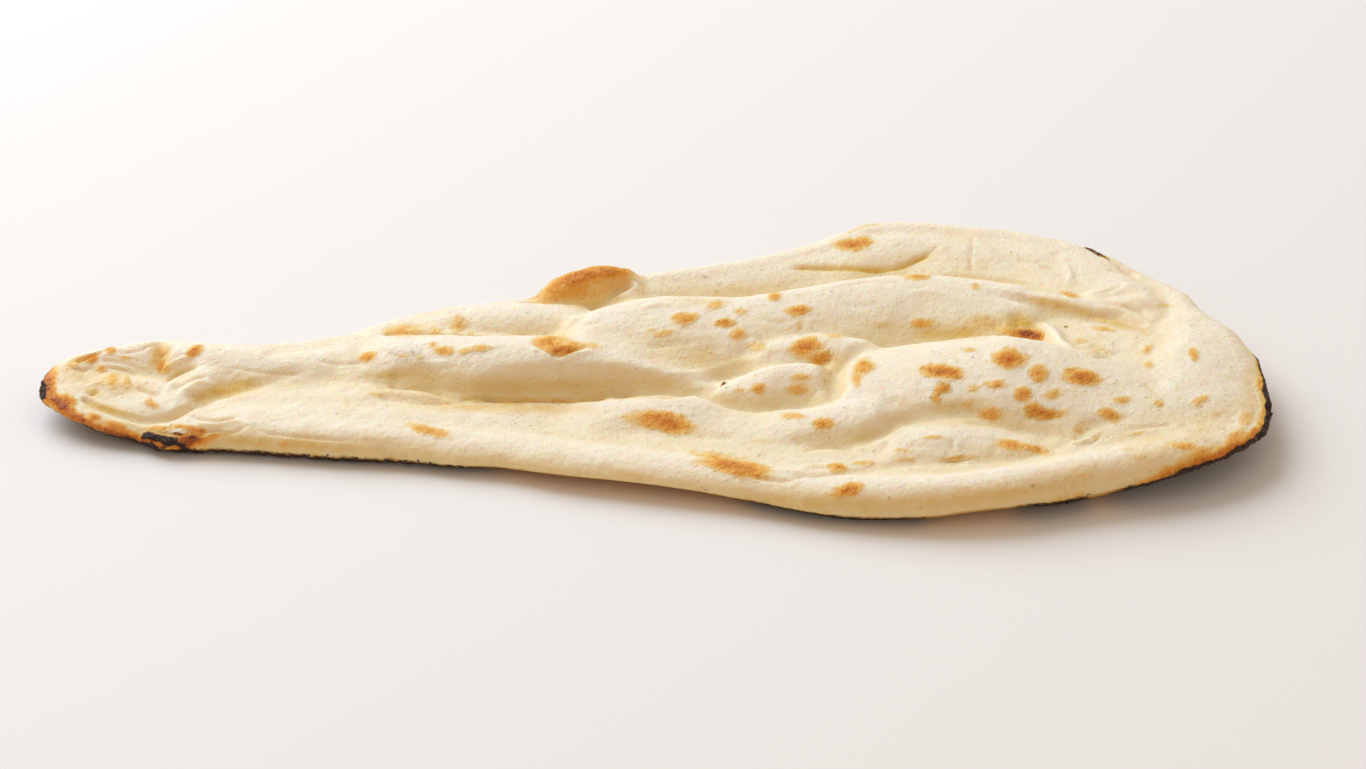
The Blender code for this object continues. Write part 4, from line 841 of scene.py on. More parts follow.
def form_heights(along, across, form):
    """x, y, the top's and the underside's height, and the turn of the rolled edge in degrees, on a grid."""
    near_edge = edge_curve(NEAR_EDGE)
    far_edge = edge_curve(FAR_EDGE)
    x = x_at(along)
    near_y = near_edge(along)
    y = near_y + (far_edge(along) - near_y) * across
    inset = outline_distance(x, y, near_edge, far_edge, form.columns)
    inset = np.where((across == 0) | (across == 1), 0, inset)
    lift = value_along(NEAR_RIM, 1)(x) * (1 - across) + value_along(FAR_RIM, 1)(x) * across
    crest = value_along(NEAR_RIM, 2)(x) * (1 - across) + value_along(FAR_RIM, 2)(x) * across
    under = np.maximum(lift, 0) * (1 - eased(inset / LIFT_REACH))
    top = smooth_max(value_along(SHEET_TOP, 1)(x), under + form.sheet_thickness, FOLD_BLEND)
    top = top + (crest - top) * (1 - eased((inset - RIM_CREST) / RIM_FALL))
    for fold in FOLDS:
        raise_fold(top, x, y, fold)
    for crease in CREASES:
        cut_crease(top, x, y, crease)
    top = smooth_max(top, under + form.sheet_thickness / 2, FOLD_BLEND / 2)
    turn = np.clip(inset / form.rim_round, 0, 1)
    rounding = np.sqrt(1 - (1 - turn) ** 2)
    middle = under + EDGE_SHARE * (top - under)
    roll = np.degrees(np.arcsin(rounding))
    return x, y + SIDE_SHIFT, middle + (top - middle) * rounding, middle + (under - middle) * rounding, roll


def spread(count, crowding):
    """Shares from 0 to 1 that crowd towards both ends."""
    even = np.linspace(0, 1, count + 1)
    return even * (1 - crowding) + crowding * (1 - np.cos(np.pi * even)) / 2


def grid_faces(numbers):
    """Quads between the neighbours of a grid of point numbers."""
    corners = [numbers[:-1, :-1], numbers[1:, :-1], numbers[1:, 1:], numbers[:-1, 1:]]
    return np.stack(corners, axis=-1).reshape(-1, 4)


def bread_mesh(form):
    """The closed bread as a mesh: top and underside grids that share the outline and both tips.

    Gives the mesh and, for each point, whether it is on top and the turn of the rolled edge in degrees."""
    even = TAIL_TIP_X + LENGTH * spread(form.columns, LENGTH_CROWDING)
    along = share_at(even)[1:-1]
    tip_x, tip_y, tip_z, _, _ = form_heights(np.array([[0.0], [1.0]]), np.array([[0.5], [0.5]]), form)
    points = [np.column_stack([tip_x.ravel(), tip_y.ravel(), tip_z.ravel()])]
    rolls = [np.zeros(2)]
    on_top = [np.ones(2, bool)]
    numbers = []
    taken = 2
    for rows, is_top in ((form.top_rows, True), (form.under_rows, False)):
        grid = np.meshgrid(along, spread(rows, WIDTH_CROWDING), indexing="ij")
        x, y, top, under, roll = form_heights(*grid, form)
        shape = (len(along), rows + 1)
        if is_top:
            number = np.arange(taken, taken + shape[0] * shape[1]).reshape(shape)
            keep = np.ones(shape, bool)
        else:
            keep = np.ones(shape, bool)
            keep[:, (0, -1)] = False
            number = np.zeros(shape, int)
            number[:, 0] = numbers[0][:, 0]
            number[:, -1] = numbers[0][:, -1]
            number[keep] = np.arange(taken, taken + keep.sum())
        points.append(np.column_stack([x[keep], y[keep], (top if is_top else under)[keep]]))
        rolls.append(roll[keep] if is_top else -roll[keep])
        on_top.append(np.full(keep.sum(), is_top))
        numbers.append(number)
        taken += keep.sum()
    faces = []
    for number, is_top in zip(numbers, (True, False)):
        quads = grid_faces(number)
        faces.extend((quads if is_top else quads[:, ::-1]).tolist())
        for tip, edge in ((0, number[0]), (1, number[-1][::-1])):
            fan = [(tip, int(a), int(b)) for a, b in zip(edge, edge[1:])]
            faces.extend(fan if is_top else [face[::-1] for face in fan])
    mesh = bpy.data.meshes.new("naan_crust")
    mesh.from_pydata(np.vstack(points).tolist(), [], faces)
    mesh.shade_smooth()
    return mesh, np.concatenate(on_top), np.concatenate(rolls)


def camera_axes():
    """The camera's place and its right, up and forward directions."""
    back = Vector((0, -math.cos(CAMERA_ELEVATION), math.sin(CAMERA_ELEVATION)))
    place = CAMERA_TARGET + CAMERA_DISTANCE * back
    right = Vector((1, 0, 0))
    return place, right, back.cross(right), -back


def photo_ray(u, v):
    """Start and direction of the ray through a pixel of the photograph."""
    place, right, up, forward = camera_axes()
    direction = forward * FOCAL_PIXELS + right * (u - PHOTO_WIDTH / 2) - up * (v - PHOTO_HEIGHT / 2)
    return place, direction.normalized()


def photo_pixels(points):
    """The photograph's pixel of each point, and how far it lies in front of the camera."""
    start, right, up, forward = (np.array(axis) for axis in camera_axes())
    away = points - start
    depth = away @ forward
    u = PHOTO_WIDTH / 2 + FOCAL_PIXELS * (away @ right) / depth
    v = PHOTO_HEIGHT / 2 - FOCAL_PIXELS * (away @ up) / depth
    return u, v, depth


class CrustView:
    """The crust as the photograph shows it: each point's pixel and depth, and the depth at any pixel."""

    def __init__(self, mesh):
        self.points = mesh_points(mesh)
        faces = [face.vertices[:] for face in mesh.polygons]
        self.tree = BVHTree.FromPolygons(self.points.tolist(), faces)
        self.u, self.v, self.depth = photo_pixels(self.points)

    def depth_at(self, u, v):
        """Depth of the crust at a pixel, or of the crust nearest to its ray."""
        start, direction = photo_ray(u, v)
        found, _, _, _ = self.tree.ray_cast(start, direction)
        if found is None:
            over = start + direction * ((MIDDLE_HEIGHT - start.z) / direction.z)
            found, _, _, _ = self.tree.find_nearest(over)
        return (found - start).dot(camera_axes()[3])


def uneven(points, size, seed):
    """Smooth noise from about -1 to 1 at each point."""
    shift = Vector([seed * step for step in SEED_STEPS])
    return np.array([noise.noise(Vector(p) / size + shift) for p in points])


def patch_field(view, spots, core, fade, raggedness, seed):
    """How far each point lies inside the spots, from 0 to 1: full in the core, and fading out unevenly."""
    waves = enumerate(RAGGED_WAVES, seed)
    ragged = raggedness * sum(share * uneven(view.points, size, wave) for wave, (size, share) in waves)
    field = np.zeros(len(view.points))
    for u, v, width, height, turn, strength in spots:
        angle = math.radians(turn)
        right = view.u - u
        up = v - view.v
        along = (right * math.cos(angle) + up * math.sin(angle)) / (width / 2)
        across = (up * math.cos(angle) - right * math.sin(angle)) / (height / 2)
        reach = SPOT_REACH + REACH_BY_HEIGHT * height / 2 + REACH_BY_WIDTH * width / 2
        close = eased((reach - np.abs(view.depth - view.depth_at(u, v))) / SPOT_REACH_FADE)
        level = strength * close * eased((fade - np.hypot(along, across) - ragged) / (fade - core))
        field = 1 - (1 - field) * (1 - level)
    return field


def wrinkle_relief(view, depth):
    """Height that the fine wrinkles add at each point, and the golden painted shade in their grooves there.
    """
    height = np.zeros(len(view.points))
    golden = np.zeros(len(view.points))
    for rise, half_width, groove_shade, pixels in WRINKLES:
        line = smooth_line([(u, v, view.depth_at(u, v)) for u, v in pixels])
        near = close_to(line, WRINKLE_MARGIN * half_width, view.u, view.v)
        distance, _, level = nearest_on(line, view.u[near], view.v[near])
        close = eased((WRINKLE_REACH - np.abs(view.depth[near] - level)) / WRINKLE_REACH_FADE)
        ends = [np.hypot(view.u[near] - end[0], view.v[near] - end[1]) for end in (line[0], line[-1])]
        fade = close * eased(np.minimum(*ends) / (WRINKLE_TAPER * half_width) + WRINKLE_END)
        height[near] += depth * rise * np.exp(-(distance / half_width) ** 2) * fade
        groove_shade_fade = np.exp(-(distance / (WRINKLE_SHADE_SPREAD * half_width)) ** 2) * fade
        golden[near] = np.maximum(golden[near], groove_shade * groove_shade_fade)
    return height, golden


def edge_bake(points, rolls):
    """Browning and char of the rolled edges; under the near edge the char is partly a painted contact
    shadow.
    """
    x = points[:, 0]
    near_y = edge_curve(NEAR_EDGE)(share_at(x))
    far_y = edge_curve(FAR_EDGE)(share_at(x))
    side = points[:, 1] - SIDE_SHIFT
    is_near = (side - near_y) < (far_y - side)
    ragged = sum(rise * uneven(points, size, seed) for size, rise, seed in BAKE_WAVES)
    browning, char, line = (
        np.where(is_near, value_along(NEAR_EDGE_BAKE_AND_SHADOW, column)(x), value_along(FAR_EDGE_BAKE, column)(x))
        for column in (1, 2, 3))
    browned = np.clip(browning, 0, 1) * eased((line + BROWNING_FADE + ragged - rolls) / BROWNING_FADE)
    charred = np.clip(char, 0, 1) * eased((line + ragged - rolls) / CHAR_FADE)
    return browned, charred


def hollows(points, on_top):
    """How deep each point lies below its surroundings, about -1 on a crest to 1 in a crease."""
    column, row = ((points[:, :2] - points[:, :2].min(axis=0)) / HOLLOW_CELL).astype(int).T
    total = np.zeros((column.max() + 1, row.max() + 1))
    count = np.zeros(total.shape)
    np.add.at(total, (column[on_top], row[on_top]), points[on_top, 2])
    np.add.at(count, (column[on_top], row[on_top]), 1)
    depths = []
    for blurs, full_depth in HOLLOW_BLURS:
        for _ in range(blurs):
            total = blurred(total)
            count = blurred(count)
        mean = total / np.maximum(count, 1e-6)
        depths.append((mean[column, row] - points[:, 2]) / full_depth)
    return np.where(on_top, np.clip(sum(depths), -1, 1), 0)


def flanks(mesh):
    """How steep the crust is at each point, from 0 where it is level to 1 where it stands."""
    normals = np.zeros(len(mesh.vertices) * 3, np.float32)
    mesh.vertex_normals.foreach_get("vector", normals)
    return eased(FLANK_GAIN * (1 - normals[2::3]))


def blurred(grid):
    """Each cell's mean with its eight neighbours."""
    wide = np.pad(grid, 1)
    rows, columns = grid.shape
    return sum(wide[i:i + rows, j:j + columns] for i in range(3) for j in range(3)) / 9


def set_field(mesh, name, values):
    """Keeps a value for each point on the mesh under a name."""
    attribute = mesh.attributes.new(name, "FLOAT", "POINT")
    attribute.data.foreach_set("value", np.asarray(values, np.float32))


def keep_in_frame(mesh):
    """Holds every point inside the CAD solid's box."""
    points = mesh_points(mesh)
    points = np.clip(points, np.array(CAD_BOX[0]), np.array(CAD_BOX[1]))
    mesh.vertices.foreach_set("co", points.ravel())
    mesh.update()


def mesh_points(mesh):
    """The mesh's points, one row each."""
    points = np.zeros(len(mesh.vertices) * 3)
    mesh.vertices.foreach_get("co", points)
    return points.reshape(-1, 3)


def fill(tree, node, inputs):
    """Fills a node's inputs with values or links."""
    for key, value in inputs.items():
        if isinstance(value, bpy.types.NodeSocket):
            tree.links.new(value, node.inputs[key])
        else:
            node.inputs[key].default_value = value


def place(tree, kind, inputs=None, **settings):
    """Adds a node, sets its options and fills its inputs."""
    node = tree.nodes.new(kind)
    for key, value in settings.items():
        setattr(node, key, value)
    fill(tree, node, inputs or {})
    return node


def math_node(tree, operation, first, second=0.0, third=0.0, clamp=False):
    """The result of a sum on up to three values."""
    inputs = {0: first, 1: second, 2: third}
    return place(tree, "ShaderNodeMath", inputs, operation=operation, use_clamp=clamp).outputs[0]


def ranged(tree, value, low, high, to_low=0.0, to_high=1.0):
    """A value eased from one range to another."""
    inputs = {"Value": value, "From Min": low, "From Max": high, "To Min": to_low, "To Max": to_high}
    return place(tree, "ShaderNodeMapRange", inputs, interpolation_type="SMOOTHSTEP").outputs["Result"]


def mixed(tree, factor, first, second):
    """A colour between two, by a factor."""
    return place(tree, "ShaderNodeMix", {0: factor, 6: first, 7: second}, data_type="RGBA").outputs[2]


def solid(colour):
    """A colour with full alpha."""
    return (*colour, 1.0)


def new_group(name, inputs, outputs):
    """A shader node group with named sockets, what its input node gives, and its output node.

    An input without a value is a vector."""
    group = bpy.data.node_groups.new(name, "ShaderNodeTree")
    for label, value in inputs:
        kind = "NodeSocketVector" if value is None else "NodeSocketFloat"
        socket = group.interface.new_socket(label, in_out="INPUT", socket_type=kind)
        if value is not None:
            socket.default_value = value
    for label in outputs:
        kind = "NodeSocketColor" if label == "Color" else "NodeSocketFloat"
        group.interface.new_socket(label, in_out="OUTPUT", socket_type=kind)
    return group, group.nodes.new("NodeGroupInput").outputs, group.nodes.new("NodeGroupOutput")


def grain_group():
    """Fine skin of baked dough: a height for bumps and a slow mottling."""
    group, given, result = new_group(
        "bread grain", [("Vector", None), ("Pucker Size", 0.0021), ("Mottle Size", 0.009)],
        ["Height", "Mottle", "Speckle"])
    pucker_scale = math_node(group, "DIVIDE", 1.0, given["Pucker Size"])
    mottle_scale = math_node(group, "DIVIDE", 1.0, given["Mottle Size"])
    puckers = place(group, "ShaderNodeTexNoise",
                    {"Vector": given["Vector"], "Scale": pucker_scale, "Detail": 4.0, "Roughness": 0.55})
    pores = place(group, "ShaderNodeTexVoronoi", {"Vector": given["Vector"], "Scale": pucker_scale})
    pits = ranged(group, pores.outputs["Distance"], *PORE_RANGE)
    height = math_node(group, "MULTIPLY_ADD", pits, PORE_DEPTH, puckers.outputs["Fac"])
    mottle = place(group, "ShaderNodeTexNoise",
                   {"Vector": given["Vector"], "Scale": mottle_scale, "Detail": 5.0, "Roughness": 0.6,
                    "Distortion": 0.4})
    fill(group, result, {
        "Height": height, "Mottle": mottle.outputs["Fac"], "Speckle": puckers.outputs["Fac"]})
    return group


def bake_group(bake):
    """Colour of the crust from how toasted, charred, thin and hollow it is; hollows, steep flanks and much
    of the thin field darken it as painted shade.
    """
    group, given, result = new_group(
        "bake colour",
        [("Toast", 0.0), ("Char", 0.0), ("Thin", 0.0), ("Hollow", 0.0), ("Flank", 0.0), ("Mottle", 0.5),
         ("Speckle", 0.5)],
        ["Color", "Toast", "Char"])
    mottle = ranged(group, given["Mottle"], *MOTTLE_RANGE)
    # Painted shade: hollows and steep flanks darken the skin toward the dough colour, crests stay paler,
    # besides the real damp mottling
    damp = math_node(group, "MULTIPLY_ADD", given["Hollow"], HOLLOW_SHADE, DAMP_BASE)
    damp = math_node(group, "MULTIPLY_ADD", given["Flank"], FLANK_SHADE, damp)
    damp = math_node(group, "MULTIPLY_ADD", mottle, DAMP_MOTTLE, damp, clamp=True)
    skin = mixed(group, damp, solid(bake.cream), solid(bake.dough))
    thin = math_node(group, "MULTIPLY_ADD", mottle, THIN_MOTTLE, THIN_BASE)
    thin = math_node(group, "MULTIPLY", thin, given["Thin"], clamp=True)
    skin = mixed(group, thin, skin, solid(bake.crumb))
    broken = math_node(group, "SUBTRACT", given["Speckle"], NOISE_MIDDLE)
    cloudy = math_node(group, "SUBTRACT", given["Mottle"], NOISE_MIDDLE)
    toast = math_node(group, "MULTIPLY_ADD", broken, TOAST_SPECKLE, 1.0)
    toast = math_node(group, "MULTIPLY_ADD", cloudy, TOAST_MOTTLE, toast)
    toast = math_node(group, "MULTIPLY", given["Toast"], toast)
    toast = math_node(group, "MAXIMUM", toast, ranged(group, given["Mottle"], *FRECKLES))
    colour = skin
    for name, starts, full in BROWNING:
        colour = mixed(group, ranged(group, toast, starts, full), colour, solid(getattr(bake, name)))
    char = math_node(group, "ADD", broken, given["Char"])
    burnt = ranged(group, char, *CHAR_RANGE)
    colour = mixed(group, burnt, colour, solid(bake.char))
    fill(group, result, {"Color": colour, "Toast": toast, "Char": burnt})
    return group


def crackle_group():
    """Cracked, blistered char: a height and a grey bloom on its high places."""
    group, given, result = new_group(
        "char crackle", [("Vector", None), ("Cell Size", 0.0016)], ["Height", "Bloom"])
    scale = math_node(group, "DIVIDE", 1.0, given["Cell Size"])
    cells = place(group, "ShaderNodeTexVoronoi", {"Vector": given["Vector"], "Scale": scale},
                  feature="DISTANCE_TO_EDGE")
    rough = place(group, "ShaderNodeTexNoise",
                  {"Vector": given["Vector"], "Scale": scale, "Detail": 5.0, "Roughness": 0.7})
    cracks = ranged(group, cells.outputs["Distance"], *CRACK_RANGE)
    height = math_node(group, "MULTIPLY_ADD", cracks, CRACK_DEPTH, rough.outputs["Fac"])
    bloom = ranged(group, rough.outputs["Fac"], *BLOOM_RANGE)
    fill(group, result, {"Height": height, "Bloom": bloom})
    return group


def named_value(tree, name):
    """A named value of the mesh, in a material."""
    return place(tree, "ShaderNodeAttribute", attribute_name=name).outputs["Fac"]


def object_vector(tree):
    """The place on the piece, in metres."""
    return place(tree, "ShaderNodeTexCoord").outputs["Object"]


def bumped(tree, height, strength, distance):
    """The normal that a height gives."""
    inputs = {"Height": height, "Strength": strength, "Distance": distance}
    return place(tree, "ShaderNodeBump", inputs).outputs["Normal"]


def new_material(name):
    """A node material with its tree and its Principled shader."""
    material = bpy.data.materials.new(name)
    material.use_nodes = True
    return material, material.node_tree, material.node_tree.nodes["Principled BSDF"]


def crust_material(groups, bake):
    """Baked skin: coloured and bumped by the crust's fields, with light passing a little way into it."""
    material, tree, shader = new_material("naan_crust")
    vector = {"Vector": object_vector(tree)}
    grain = place(tree, "ShaderNodeGroup", vector, node_tree=groups["grain"]).outputs
    crackle = place(tree, "ShaderNodeGroup", vector, node_tree=groups["crackle"]).outputs
    fields = {name: named_value(tree, name.lower()) for name in ("Toast", "Char", "Thin", "Hollow", "Flank")}
    fields.update(Mottle=grain["Mottle"], Speckle=grain["Speckle"])
    baked = place(tree, "ShaderNodeGroup", fields, node_tree=groups["bake"]).outputs
    bloom = math_node(tree, "MULTIPLY", crackle["Bloom"], baked["Char"])
    bloom = math_node(tree, "MULTIPLY", bloom, ASH_SHARE)
    roughness = math_node(tree, "MULTIPLY_ADD", baked["Toast"], TOAST_ROUGHNESS, BASE_ROUGHNESS)
    roughness = math_node(tree, "MULTIPLY_ADD", grain["Mottle"], MOTTLE_ROUGHNESS, roughness)
    bumps = math_node(tree, "MULTIPLY_ADD", baked["Toast"], TOAST_BUMP, BASE_BUMP)
    bumps = math_node(tree, "MULTIPLY_ADD", named_value(tree, "flaked"), FLAKED_BUMP, bumps)
    height = math_node(tree, "MULTIPLY", grain["Height"], bumps)
    charred = math_node(tree, "MULTIPLY", crackle["Height"], baked["Char"])
    height = math_node(tree, "MULTIPLY_ADD", charred, CHAR_BUMP, height)
    fill(tree, shader, {
        "Base Color": mixed(tree, bloom, baked["Color"], solid(bake.ash)), "Roughness": roughness,
        "Normal": bumped(tree, height, strength=1.0, distance=BUMP_HEIGHT), "Specular IOR Level": 0.38,
        "Subsurface Weight": 0.50, "Subsurface Radius": (1.0, 0.42, 0.12), "Subsurface Scale": 0.006})
    return material


def char_flake_material(groups, bake):
    """Brittle char with ash on its high places."""
    material, tree, shader = new_material("char_flake")
    inputs = {"Vector": object_vector(tree), "Cell Size": 0.0009}
    crackle = place(tree, "ShaderNodeGroup", inputs, node_tree=groups["crackle"]).outputs
    fill(tree, shader, {
        "Base Color": mixed(tree, crackle["Bloom"], solid(bake.char), solid(bake.ash)),
        "Normal": bumped(tree, crackle["Height"], strength=0.5, distance=0.0002),
        "Roughness": ranged(tree, crackle["Height"], *FLAKE_ROUGHNESS)})
    return material


def skin_flake_material(groups):
    """Dry skin, as browned as the crust under it."""
    material, tree, shader = new_material("skin_flake")
    vector = {"Vector": object_vector(tree)}
    grain = place(tree, "ShaderNodeGroup", vector, node_tree=groups["grain"]).outputs
    fields = {"Mottle": grain["Mottle"], "Speckle": grain["Speckle"], "Toast": named_value(tree, "toast")}
    baked = place(tree, "ShaderNodeGroup", fields, node_tree=groups["bake"]).outputs
    fill(tree, shader, {
        "Base Color": baked["Color"], "Roughness": 0.6,
        "Normal": bumped(tree, grain["Height"], strength=0.4, distance=0.0001),
        "Subsurface Weight": 0.3, "Subsurface Radius": (1.0, 0.62, 0.28), "Subsurface Scale": 0.003})
    return material


def new_geometry_tree(name, sizes):
    """A geometry tree with named inputs, what its input node gives, and its output node."""
    tree = bpy.data.node_groups.new(name, "GeometryNodeTree")
    tree.interface.new_socket("Geometry", in_out="INPUT", socket_type="NodeSocketGeometry")
    for label, kind in sizes:
        tree.interface.new_socket(label, in_out="INPUT", socket_type=kind)
    tree.interface.new_socket("Geometry", in_out="OUTPUT", socket_type="NodeSocketGeometry")
    return tree, tree.nodes.new("NodeGroupInput").outputs, tree.nodes.new("NodeGroupOutput")


def field(tree, name):
    """A named value of the mesh, in a geometry tree."""
    node = place(tree, "GeometryNodeInputNamedAttribute", {"Name": name}, data_type="FLOAT")
    return node.outputs["Attribute"]


def noise_field(tree, size, detail, seed):
    """Noise about zero, with swellings of a size."""
    position = tree.nodes.new("GeometryNodeInputPosition").outputs[0]
    scale = math_node(tree, "DIVIDE", 1.0, size)
    inputs = {"Vector": position, "W": seed, "Scale": scale, "Detail": detail}
    texture = place(tree, "ShaderNodeTexNoise", inputs, noise_dimensions="4D")
    return math_node(tree, "SUBTRACT", texture.outputs["Fac"], NOISE_MIDDLE)


def relief_tree(material):
    """Pushes the crust out and in: swellings, puckers, fine folds, scorched lifts and crumpled char."""
    sizes = [(label, "NodeSocketFloat") for label in (*RELIEF_SIZES, "Seed")]
    tree, given, result = new_geometry_tree("crust relief", sizes)
    bubbles = noise_field(tree, given["Bubble Size"], 1.0, given["Seed"])
    grain = noise_field(tree, given["Grain Size"], 2.0, given["Seed"])
    push = math_node(tree, "MULTIPLY", bubbles, given["Bubble Height"])
    push = math_node(tree, "MULTIPLY_ADD", grain, given["Grain Height"], push)
    push = math_node(tree, "MULTIPLY", push, SWELL_GAIN)
    folds = math_node(tree, "ABSOLUTE", noise_field(tree, given["Crinkle Size"], 1.0, given["Seed"]))
    folds = math_node(tree, "SUBTRACT", CRINKLE_LEVEL, folds)
    wrinkled = ranged(tree, noise_field(tree, DRY_PATCH_SIZE, 1.0, given["Seed"]), *DRY_PATCHES)
    wrinkled = math_node(tree, "MAXIMUM", wrinkled, field(tree, "flaked"))
    folds = math_node(tree, "MULTIPLY", folds, wrinkled)
    push = math_node(tree, "MULTIPLY_ADD", folds, given["Crinkle Height"], push)
    lift = math_node(tree, "MULTIPLY_ADD", grain, SCORCH_PUCKER, 1.0)
    lift = math_node(tree, "MULTIPLY", lift, field(tree, "toast"))
    push = math_node(tree, "MULTIPLY_ADD", lift, given["Scorch Lift"], push)
    crumple_size = math_node(tree, "MULTIPLY", given["Grain Size"], CRUMPLE_SIZE)
    crumple = math_node(tree, "ABSOLUTE", noise_field(tree, crumple_size, 3.0, given["Seed"]))
    crumple = math_node(tree, "MULTIPLY_ADD", crumple, CRUMPLE_SLOPE, CRUMPLE_LEVEL)
    crumple = math_node(tree, "MULTIPLY", crumple, field(tree, "char"))
    push = math_node(tree, "MULTIPLY_ADD", crumple, given["Char Crumple"], push)
    push = math_node(tree, "MULTIPLY", push, field(tree, "relief"))
    normal = tree.nodes.new("GeometryNodeInputNormal").outputs[0]
    offset = place(tree, "ShaderNodeVectorMath", {0: normal, "Scale": push}, operation="SCALE").outputs[0]
    moved = place(tree, "GeometryNodeSetPosition", {"Geometry": given["Geometry"], "Offset": offset})
    return finish_tree(tree, moved.outputs[0], material, result)


def finish_tree(tree, geometry, material, result):
    """Ends a tree with real mesh in one material."""
    real = place(tree, "GeometryNodeRealizeInstances", {"Geometry": geometry}).outputs[0]
    dressed = place(tree, "GeometryNodeSetMaterial", {"Geometry": real, "Material": material}).outputs[0]
    fill(tree, result, {"Geometry": dressed})
    return tree


def scatter_tree(name, mask, proportions, tilt, material):
    """Scatters small curled chips where a named value is high, each at its own size and tilt."""
    sizes = [("Density", "NodeSocketFloat"), ("Size", "NodeSocketFloat"), ("Seed", "NodeSocketInt")]
    tree, given, result = new_geometry_tree(name, sizes)
    chip = place(tree, "GeometryNodeMeshCube",
                 {"Size": proportions, "Vertices X": 4, "Vertices Y": 3, "Vertices Z": 2}).outputs["Mesh"]
    position = tree.nodes.new("GeometryNodeInputPosition").outputs[0]
    parts = place(tree, "ShaderNodeSeparateXYZ", {0: position}).outputs
    curl = math_node(tree, "MULTIPLY", math_node(tree, "MULTIPLY", parts["X"], parts["X"]), CHIP_CURL)
    narrow = math_node(tree, "MULTIPLY", math_node(tree, "MULTIPLY", parts["X"], parts["Y"]), CHIP_NARROWING)
    bend = place(tree, "ShaderNodeCombineXYZ", {"Y": narrow, "Z": curl}).outputs[0]
    chip = place(tree, "GeometryNodeSetPosition", {"Geometry": chip, "Offset": bend}).outputs[0]
    density = math_node(tree, "MULTIPLY", ranged(tree, field(tree, mask), *CHIP_MASK), given["Density"])
    points = place(tree, "GeometryNodeDistributePointsOnFaces",
                   {"Mesh": given["Geometry"], "Density": density, "Seed": given["Seed"]},
                   distribute_method="RANDOM")
    leans = {0: (-tilt, -tilt, 0.0), 1: (tilt, tilt, CHIP_TURN), "Seed": given["Seed"]}
    lean = place(tree, "FunctionNodeRandomValue", leans, data_type="FLOAT_VECTOR")
    lean = place(tree, "FunctionNodeEulerToRotation", {0: lean.outputs[0]}).outputs[0]
    turned = place(tree, "FunctionNodeRotateRotation",
                   {"Rotation": points.outputs["Rotation"], "Rotate By": lean}, rotation_space="LOCAL")
    shares = {2: CHIP_SIZES[0], 3: CHIP_SIZES[1], "Seed": given["Seed"]}
    grown = place(tree, "FunctionNodeRandomValue", shares, data_type="FLOAT")
    size = math_node(tree, "MULTIPLY", grown.outputs[1], given["Size"])
    chips = place(tree, "GeometryNodeInstanceOnPoints",
                  {"Points": points.outputs["Points"], "Instance": chip, "Rotation": turned.outputs[0],
                   "Scale": size})
    return finish_tree(tree, chips.outputs[0], material, result)


def new_object(name, data):
    """An object in the scene, at the origin."""
    thing = bpy.data.objects.new(name, data)
    bpy.context.scene.collection.objects.link(thing)
    return thing


def grown_mesh(base, tree, values):
    """The plain mesh that a geometry tree makes on a mesh, with its inputs set first."""
    carrier = new_object("carrier", base)
    modifier = carrier.modifiers.new(tree.name, "NODES")
    modifier.node_group = tree
    for item in tree.interface.items_tree:
        if item.item_type == "SOCKET" and item.in_out == "INPUT" and item.name in values:
            modifier[item.identifier] = values[item.name]
    depsgraph = bpy.context.evaluated_depsgraph_get()
    mesh = bpy.data.meshes.new_from_object(
        carrier.evaluated_get(depsgraph), preserve_all_data_layers=True, depsgraph=depsgraph)
    carrier.modifiers.remove(modifier)
    bpy.data.objects.remove(carrier)
    return mesh


def add_piece(name, mesh):
    """Shows a mesh as a piece of the bread that rides on the body."""
    piece = new_object(name, mesh)
    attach(piece, "root")
    return piece


